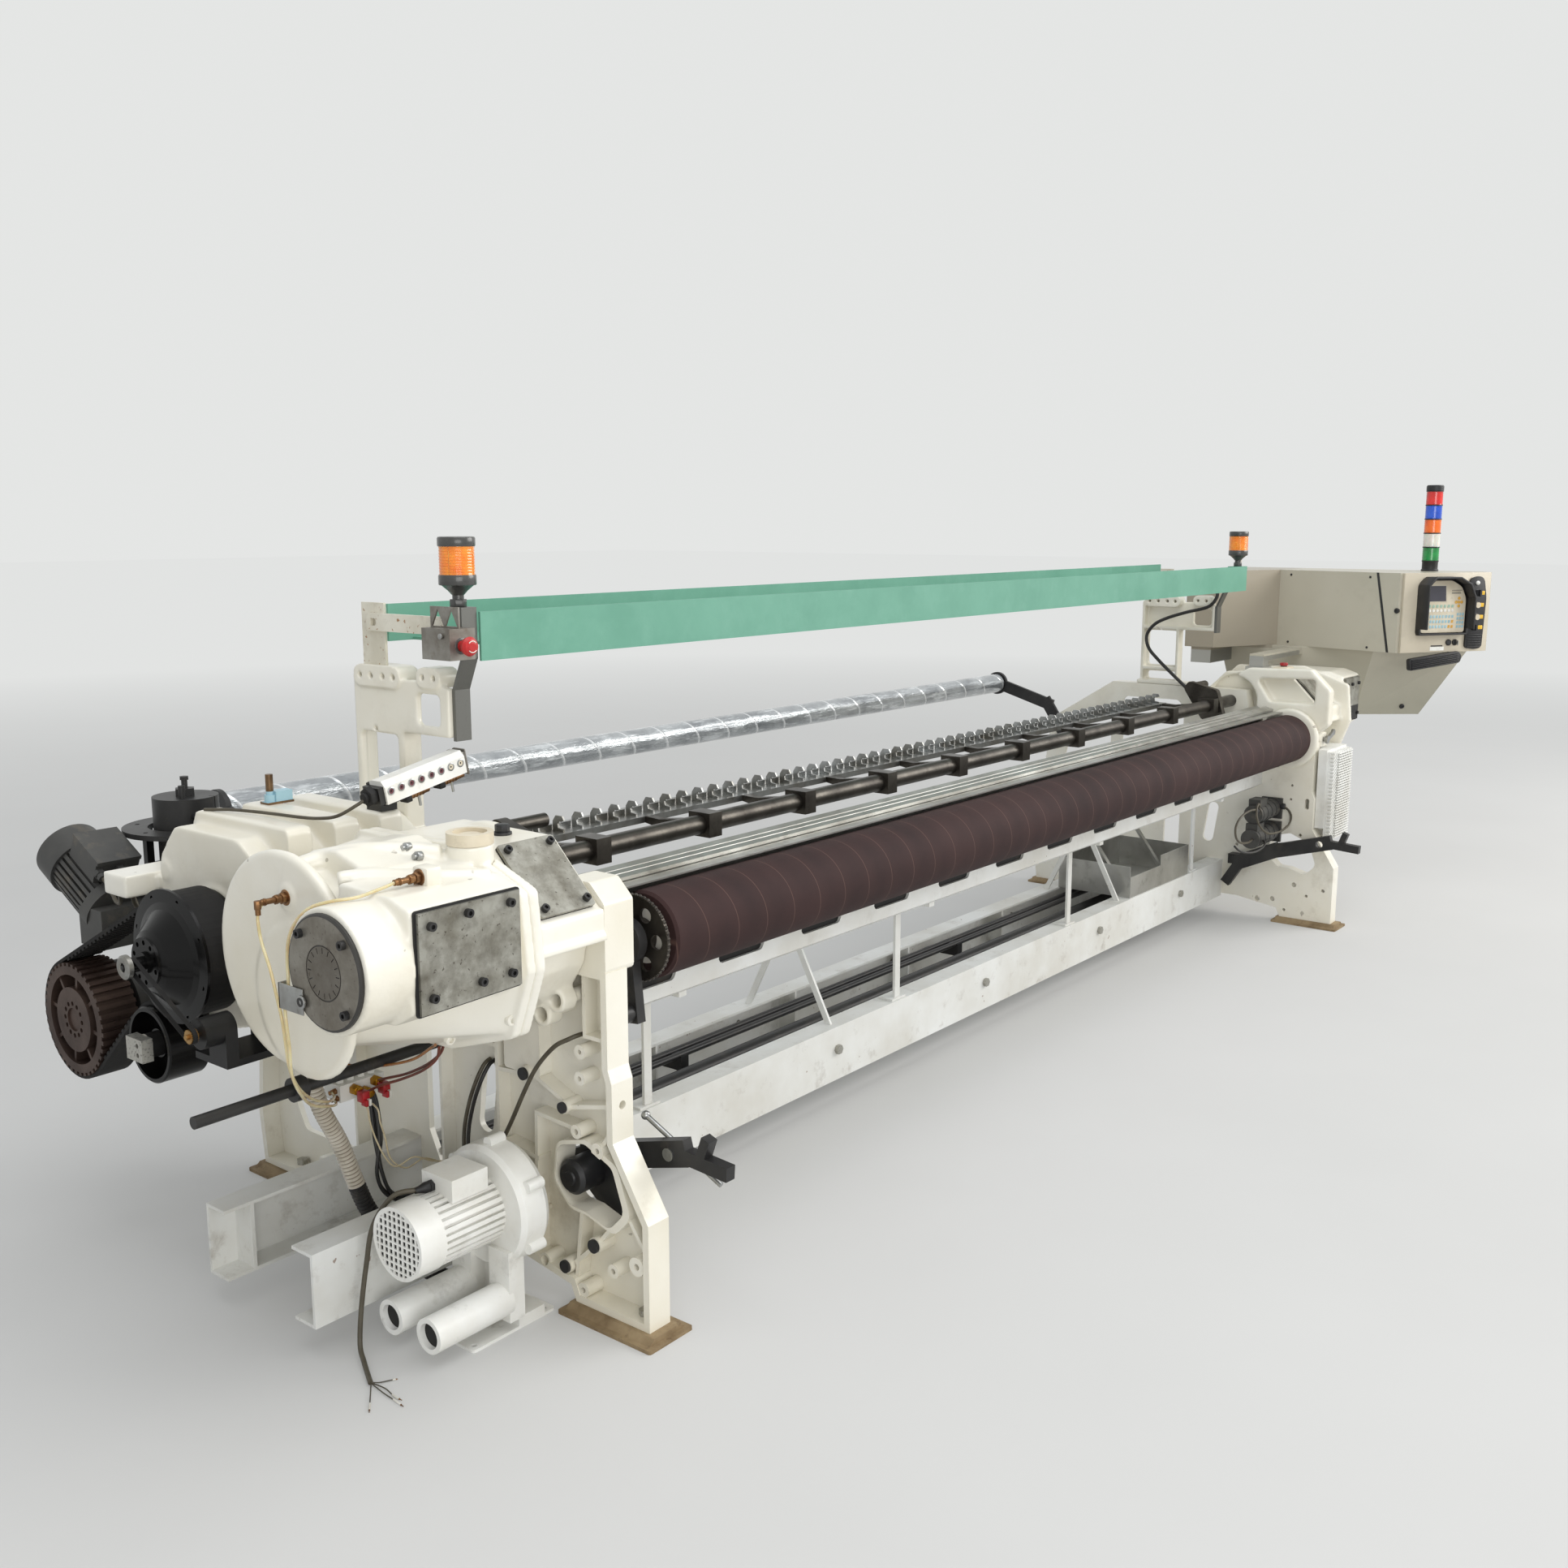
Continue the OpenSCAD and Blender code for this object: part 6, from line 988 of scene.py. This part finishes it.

# Sockets: steel ring, coloured core and a black disc of painted shade in each hole; six dark red and two cream
onSocket = (Matrix.Translation(mm(*socketLook["place"]))
            @ Matrix.Rotation(math.radians(-socketLook["tilt"]), 4, "Y"))
socketShapes = {"ring": [(5.6, 0), (8.6, 0), (8.6, 1.4), (7.6, 2), (5.6, 2), (5.6, 0)],
                "core": [(2.2, 0), (5.8, 0), (5.8, 2.4), (2.2, 2.4), (2.2, 0)],
                "gland": [(7, 0), (8.6, 0.6), (8.6, 3), (7, 3.6)]}
socketBuild = bmesh.new()
for i in range(8):
    x = 13 + socketLook["pitch"] * i
    turned(socketBuild, (x, 0.4, 25), (0, -1, 0), socketShapes["ring"], 0, 20, onSocket)
    turned(socketBuild, (x, 1.5, 25), (0, -1, 0), socketShapes["core"], 1 if i < 6 else 2, 20, onSocket)
    # black disc in the hole: painted shade
    rod(socketBuild, (x, 1.5, 25), (0, -1, 0), 2.4, 1.2, 3, 12, turn=onSocket)
rod(socketBuild, (-13.5, 26, 22), (-1, 0, 0), 21, 16, 3, 6, edge=2, turn=onSocket)
rod(socketBuild, (-29, 26, 22), (-1, 0, 0), 11, 8, 3, 24, edge=1, turn=onSocket)
plate(socketBuild, [(-24, -8), (26, -8), (30, 30), (14, 48), (-24, 48)], 3, 4, 0.6,
      onSocket @ Matrix.Translation(mm(216, 30, 0)) @ Matrix.Rotation(math.radians(90), 4, "Z")
      @ Matrix.Rotation(math.radians(90), 4, "X"), corner=3)
for x, long in ((62, 56), (150, 62)):
    rod(socketBuild, (x, 22, -7), (1, 0, 0), 7.4, long, 5, 20, edge=1, turn=onSocket)
    for k in range(5):
        turned(socketBuild, (x + 6 + 8 * k, 22, -7), (1, 0, 0), socketShapes["gland"], 5, 20, onSocket)
    rod(socketBuild, (x + 30, 22, -12), (0, 0, -1), 3, 24, 0, 12, turn=onSocket)
    block(socketBuild, (x - 8, 12, -18), (16, 26, 20), 3, 3, onSocket)
pieceFrom("socketFaces", socketBuild, ["brightSteel", "socketRed", "creamPlastic", "darkHole", "dullZinc",
                                       "oldBrass"])
wire("socketCable", [(-2360, -102, 1076), (-2380, -92, 1062), (-2404, -60, 1040), (-2420, -20, 1033),
                     (-2430, 30, 1031), (-2440, 90, 1031), (-2452, 150, 1031), (-2470, 220, 1030),
                     (-2490, 280, 1026)], 7, "greyCable")

# Stop button: dark collar, and two pale arcs on its face that move with it
buttonLook = {"place": (-2180, -190, 1372), "arc": 11.5, "face": -224.3,
              "collar": [(11.4, 0), (17, 0), (17, 0.6), (15.6, 1.4), (11.4, 1.4), (11.4, 0)]}
collarBuild = bmesh.new()
turned(collarBuild, buttonLook["place"], (0, -1, 0), buttonLook["collar"])
rod(collarBuild, (-2212, -166, 1392), (-1, 0, 0), 6, 4, 1, 20, edge=0.8)
pieceFrom("buttonCollar", collarBuild, ["greyPlastic", "brightSteel"])
arcBuild = bmesh.new()
x, y, z = buttonLook["place"]
for side in (0, 1):
    marks = [math.radians(180 * side + 40 + 12.5 * k) for k in range(9)]
    arc = [mm(x + buttonLook["arc"] * math.cos(a), buttonLook["face"], z + buttonLook["arc"] * math.sin(a))
           for a in marks]
    sweep(arcBuild, arc, 1.0, 0, 8)
pieceFrom("buttonMarks", arcBuild, ["labelWhite"], body="stop")

# Black filler plug and the small studs and bosses of the left case
studLook = {"profile": [(0, -4), (11, -4), (11, 4), (9, 6), (5, 6), (5, 1), (0, 1)],
            "places": (((-2400, -556, 718), (0, -1, 0)), ((-2452, -444, 671), (0, -1, -0.3)),
                       ((-2430, -374, 1000), (0, 0, 1))),
            "plugFoot": ((-2216, -337, 1007.5), (0, 0, 1), 19, 6), "plug": ((-2216, -337, 1013), (0, 0, 1), 15, 16)}
studBuild = bmesh.new()
rod(studBuild, *studLook["plugFoot"], 0, 32, edge=1)
rod(studBuild, *studLook["plug"], 0, 8, edge=1.5)
for place, along in studLook["places"]:
    turned(studBuild, place, along, studLook["profile"], 1, 24)
pieceFrom("caseStuds", studBuild, ["blackPlastic", "creamPaint"])

# Black strip inside the cross beam: painted shade that shows through its slots; black discs behind the blower's
# grille and in its two ports: painted shade in the holes
slotShadeLook = {"low": (-1930, -341.9, 586), "size": (3425, 1.6, 62)}
slotShadeBuild = bmesh.new()
block(slotShadeBuild, slotShadeLook["low"], slotShadeLook["size"], 0, 0.4)
pieceFrom("slotShadeStrip", slotShadeBuild, ["darkHole"])
grilleShadeLook = {"grille": ((-2506.9, -334, 250), 65.8), "ports": (((-2478, -392, 70), 25.9), ((-2478, -276, 70), 25.9)),
            "thick": 1.2}
grilleShadeBuild = bmesh.new()
# each disc is painted shade behind the grille or in a port
for place, radius in (grilleShadeLook["grille"], *grilleShadeLook["ports"]):
    rod(grilleShadeBuild, place, (1, 0, 0), radius, grilleShadeLook["thick"], 0, 64)
pieceFrom("grilleShadeDiscs", grilleShadeBuild, ["darkHole"])

# Bright bearing ring and its bolt on the end of the drum's hub
hubLook = {"place": (-2749.5, 144, 772),
           "ring": [(9, 0), (18, 0), (24, 2), (24, 11), (20, 14), (11, 14), (9, 12), (9, 0)]}
hubBuild = bmesh.new()
turned(hubBuild, hubLook["place"], (-1, 0, 0), hubLook["ring"], 0, 40)
rod(hubBuild, hubLook["place"], (-1, 0, 0), 9.4, 9, 1, 32)
rod(hubBuild, hubLook["place"], (-1, 0, 0), 5.5, 15, 1, 6, edge=0.6)
pieceFrom("hubRing", hubBuild, ["brightSteel", "blackSteel"], body="drum")

# Cables of the tilted let-off motor
motorCables = {"glandA": [(-2524, 662, 827), (-2524, 642, 815), (-2530, 612, 798), (-2544, 572, 792),
                          (-2558, 530, 798), (-2572, 500, 812), (-2584, 478, 832), (-2590, 468, 848)],
               "glandB": [(-2476, 662, 827), (-2478, 640, 812), (-2488, 600, 786), (-2504, 560, 776),
                          (-2524, 524, 784), (-2544, 496, 804), (-2556, 478, 828), (-2560, 468, 848)]}
for name, route in motorCables.items():
    wire(name + "Cable", route, 9, "greyCable")
print("sockets, button and motor cables done")

# Right end: post cable and the servo cables in loops, with the rings and fins of the servo motors
wire("postCable", [(1800, -132, 1336), (1800, -126, 1308), (1800, -92, 1274), (1800, 4, 1248), (1800, 86, 1221),
                   (1800, 140, 1192), (1800, 171, 1146), (1800, 160, 1094), (1800, 115, 1046), (1800, 50, 990),
                   (1800, -17, 934), (1800, -50, 900), (1800, -66, 868)], 14, "blackCable")
servoCables = {
    "servoCableA": [(1815, -432, 480), (1822, -462, 470), (1818, -480, 444), (1790, -484, 416), (1740, -482, 402),
                    (1680, -478, 398), (1620, -472, 402), (1570, -466, 418), (1536, -458, 446), (1524, -450, 480),
                    (1534, -444, 512), (1560, -440, 526), (1590, -432, 516), (1610, -420, 500)],
    "servoCableB": [(1600, -415, 486), (1570, -430, 500), (1530, -440, 508), (1470, -444, 514), (1410, -444, 510),
                    (1362, -442, 494), (1338, -440, 466), (1344, -440, 432), (1378, -438, 406), (1430, -434, 390),
                    (1500, -428, 380), (1560, -418, 376), (1594, -408, 374)],
    "servoCableC": [(1640, -430, 372), (1620, -452, 360), (1570, -460, 350), (1500, -456, 346), (1440, -446, 352),
                    (1400, -434, 366), (1376, -424, 386)]}
for name, route in servoCables.items():
    wire(name, route, 8.5, "greyCable" if name != "servoCableC" else "blackCable")
servoLook = {"motors": ((-400, 470, 1616, 1824), (-400, 374, 1596, 1824)), "fins": (210, 250, 290, 330),
             "radius": 38, "ring": [(37.6, 0), (39.6, 0.6), (39.6, 6), (37.6, 6.6)]}
servoBuild = bmesh.new()
for y, z, low, high in servoLook["motors"]:
    for k in range(5):
        turned(servoBuild, (low + 14 + k * (high - low - 30) / 4, y, z), (1, 0, 0), servoLook["ring"], 0, 32)
    for angle in servoLook["fins"]:
        across = servoLook["radius"] * math.cos(math.radians(angle))
        up = servoLook["radius"] * math.sin(math.radians(angle))
        block(servoBuild, (low + 70, y + across - 3, z + up), (high - low - 90, 6, 4), 1, 1)
rod(servoBuild, (1815, -436, 480), (0, -1, 0), 12, 18, 0, 20, edge=1.5)
rod(servoBuild, (1600, -414, 486), (-0.6, -0.6, 0.3), 9, 20, 0, 20, edge=1.5)
pieceFrom("servoTrim", servoBuild, ["blackPlastic", "motorGrey"])

# Heat-sink ribs of the electronics cover, with its two round locks and the plate between them
ribLook = {"count": 34, "pitch": 10.4, "low": (1902, -633, 358), "size": (160, 9, 4.8), "lockY": -566,
           "locks": (640, 420), "plate": ((1880.5, -586, 500), (5, 44, 56))}
ribBuild = bmesh.new()
x, y, z = ribLook["low"]
for k in range(ribLook["count"]):
    block(ribBuild, (x, y, z + ribLook["pitch"] * k), ribLook["size"], 0, 1.2)
for z in ribLook["locks"]:
    rod(ribBuild, (1885.5, ribLook["lockY"], z), (-1, 0, 0), 15, 2, 0, 24, edge=0.8)
    rod(ribBuild, (1884, ribLook["lockY"], z), (-1, 0, 0), 5, 2, 1, 12)
block(ribBuild, *ribLook["plate"], 0, 2)
pieceFrom("coverRibs", ribBuild, ["railPaint", "darkHole"])

# Switch with a red knob on the right gear case
switchLook = {"box": ((1852, -420, 1006), (74, 62, 34)), "collar": ((1888, -390, 1039), (0, 0, 1), 13, 6),
              "knob": ((1888, -390, 1044), (0, 0, 1), 16, 12)}
caseBuild = bmesh.new()
block(caseBuild, *switchLook["box"], 0, 6)
rod(caseBuild, *switchLook["collar"], 2, 24, edge=1)
rod(caseBuild, *switchLook["knob"], 1, 24, edge=3)
pieceFrom("caseSwitch", caseBuild, ["creamPlastic", "plugRed", "greyPlastic"])

# Round black locks, corner screws and the dark seam of the cabinet, on the long face of its body
doorLook = {"corner": (2495, -130, 1080), "side": (-0.2587, -0.966, 0), "out": (-0.966, 0.2587, 0),
            "screws": ((57, 310), (442, 310), (58, 15), (446, 15)), "seam": ((470, 330), (536, 0)),
            "seamWide": 11, "lock": [(0, -3), (11, -3), (11, 4), (9, 6), (4, 6), (3, 3), (0, 3)],
            "locks": (((2347, -684, 1255), (-0.97, 0.26, 0)), ((2637, -646, 827), (-0.72, -0.59, -0.37)))}
onDoor = Matrix.Translation(mm(*doorLook["corner"])) @ Matrix(
    (doorLook["side"], (0, 0, 1), doorLook["out"])).transposed().to_4x4()
lockBuild = bmesh.new()
for place, along in doorLook["locks"]:
    turned(lockBuild, place, along, doorLook["lock"], 0, 24)
for across, up in doorLook["screws"]:
    rod(lockBuild, (across, up, -1), (0, 0, 1), 5, 3.4, 0, 16, edge=0.6, turn=onDoor)
(topAt, topUp), (lowAt, lowUp) = doorLook["seam"]
plate(lockBuild, [(topAt, topUp), (lowAt, lowUp), (lowAt + doorLook["seamWide"], lowUp),
                  (topAt + doorLook["seamWide"], topUp)], 1.4, 0, 0.3, onDoor, -0.4)
pieceFrom("cabinetLocks", lockBuild, ["blackPlastic"])
print("right end done")

# Camera where the photographer stood
cameraLook = {"place": (-4.175, -2.600, 1.620), "tilt": 80.15, "turn": -51.65, "lens": 34.70, "sensor": 36}
camera = shown("loomCamera", bpy.data.cameras.new("loomCamera"))
camera.location = cameraLook["place"]
camera.rotation_euler = (math.radians(cameraLook["tilt"]), 0, math.radians(cameraLook["turn"]))
camera.data.lens = cameraLook["lens"]
camera.data.sensor_width = cameraLook["sensor"]
camera.data.clip_end = 200
bpy.context.scene.camera = camera



def straightView(start):
    # 1 for camera, mirror and glass rays, 0 for the light that falls on things
    rays = [start.node("LightPath", None, None, i) for i in (0, 3, 6)]
    return (rays[0] + rays[1] + rays[2]).ramp(0.0, 1.0)


# Soft room light, with the day coming in from the right
lightLook = {"sky": 0.62, "skyColour": (0.94, 0.97, 1.0), "seen": (0.78, 0.79, 0.78)}
world = bpy.data.worlds.new("room")
bpy.context.scene.world = world
world.use_nodes = True
roomTree = world.node_tree
room = Wire(roomTree)
skyLight = room.node("Background", None, {0: (*lightLook["skyColour"], 1), 1: lightLook["sky"]})
skySeen = room.node("Background", None, {0: (*lightLook["seen"], 1), 1: 1.0})
both = room.node("MixShader", None, {0: straightView(room), 1: skyLight, 2: skySeen})
roomTree.links.new(both.socket, roomTree.nodes["World Output"].inputs[0])
# place, target, size, power and colour
lampLooks = {"doorLight": ((5.5, -5.5, 4.2), (0, -0.2, 0.6), (6, 4), 420, (1.0, 0.98, 0.95)),
             "roofLight": ((-2.0, -2.0, 6.0), (-1.2, 0.0, 0.5), (6, 5), 190, (0.97, 0.98, 1.0)),
             "fillLight": ((-5.0, -5.5, 1.8), (-1.0, -0.2, 0.5), (4, 2.4), 110, (1.0, 0.99, 0.97))}
for name, (place, target, size, power, colour) in lampLooks.items():
    lamp = bpy.data.lights.new(name, "AREA")
    lamp.shape = "RECTANGLE"
    lamp.size, lamp.size_y = size
    lamp.energy = power
    lamp.color = colour
    holder = shown(name, lamp)
    holder.location = place
    holder.rotation_euler = (Vector(target) - Vector(place)).to_track_quat("-Z", "Y").to_euler()

# Studio floor; far from the loom it fades into the background, and near it keeps its shadow
floorLook = {"size": 60, "fadeFrom": 3.5, "fadeTo": 14.0, "fade": 0.8, "least": 0.15}
floorBuild = bmesh.new()
bmesh.ops.create_grid(floorBuild, x_segments=1, y_segments=1, size=floorLook["size"])
floorMesh = bpy.data.meshes.new("studioFloor")
floorBuild.to_mesh(floorMesh)
floorBuild.free()
studioFloor = shown("studioFloor", floorMesh)
floorPaint = makeFinish("floorPaint", {"colour": (0.56, 0.555, 0.54), "second": (0.59, 0.585, 0.57), "patch": 0.5,
                                       "rough": 0.8, "dirt": 0.0, "relief": 0.0})
floorTree = floorPaint.node_tree
floorShade = Wire(floorTree, floorTree.nodes["Principled BSDF"].outputs[0])
floorGlow = floorShade.node("Emission", None, {0: (*lightLook["seen"], 1), 1: 1.0})
floorSpot = floorShade.node("TexCoord", None, None, 3)
distance = floorShade.node("VectorMath", {"operation": "LENGTH"}, {0: floorSpot}, 1)
farAway = distance.ramp(floorLook["fadeFrom"], floorLook["fadeTo"]) * floorLook["fade"] + floorLook["least"]
floorMix = floorShade.node("MixShader", None, {0: straightView(floorShade) * farAway, 1: floorShade, 2: floorGlow})
floorTree.links.new(floorMix.socket, floorTree.nodes["Material Output"].inputs[0])
floorMesh.materials.append(floorPaint)
print("camera, lamps and floor set")

bpy.context.scene.view_settings.view_transform = "Standard"
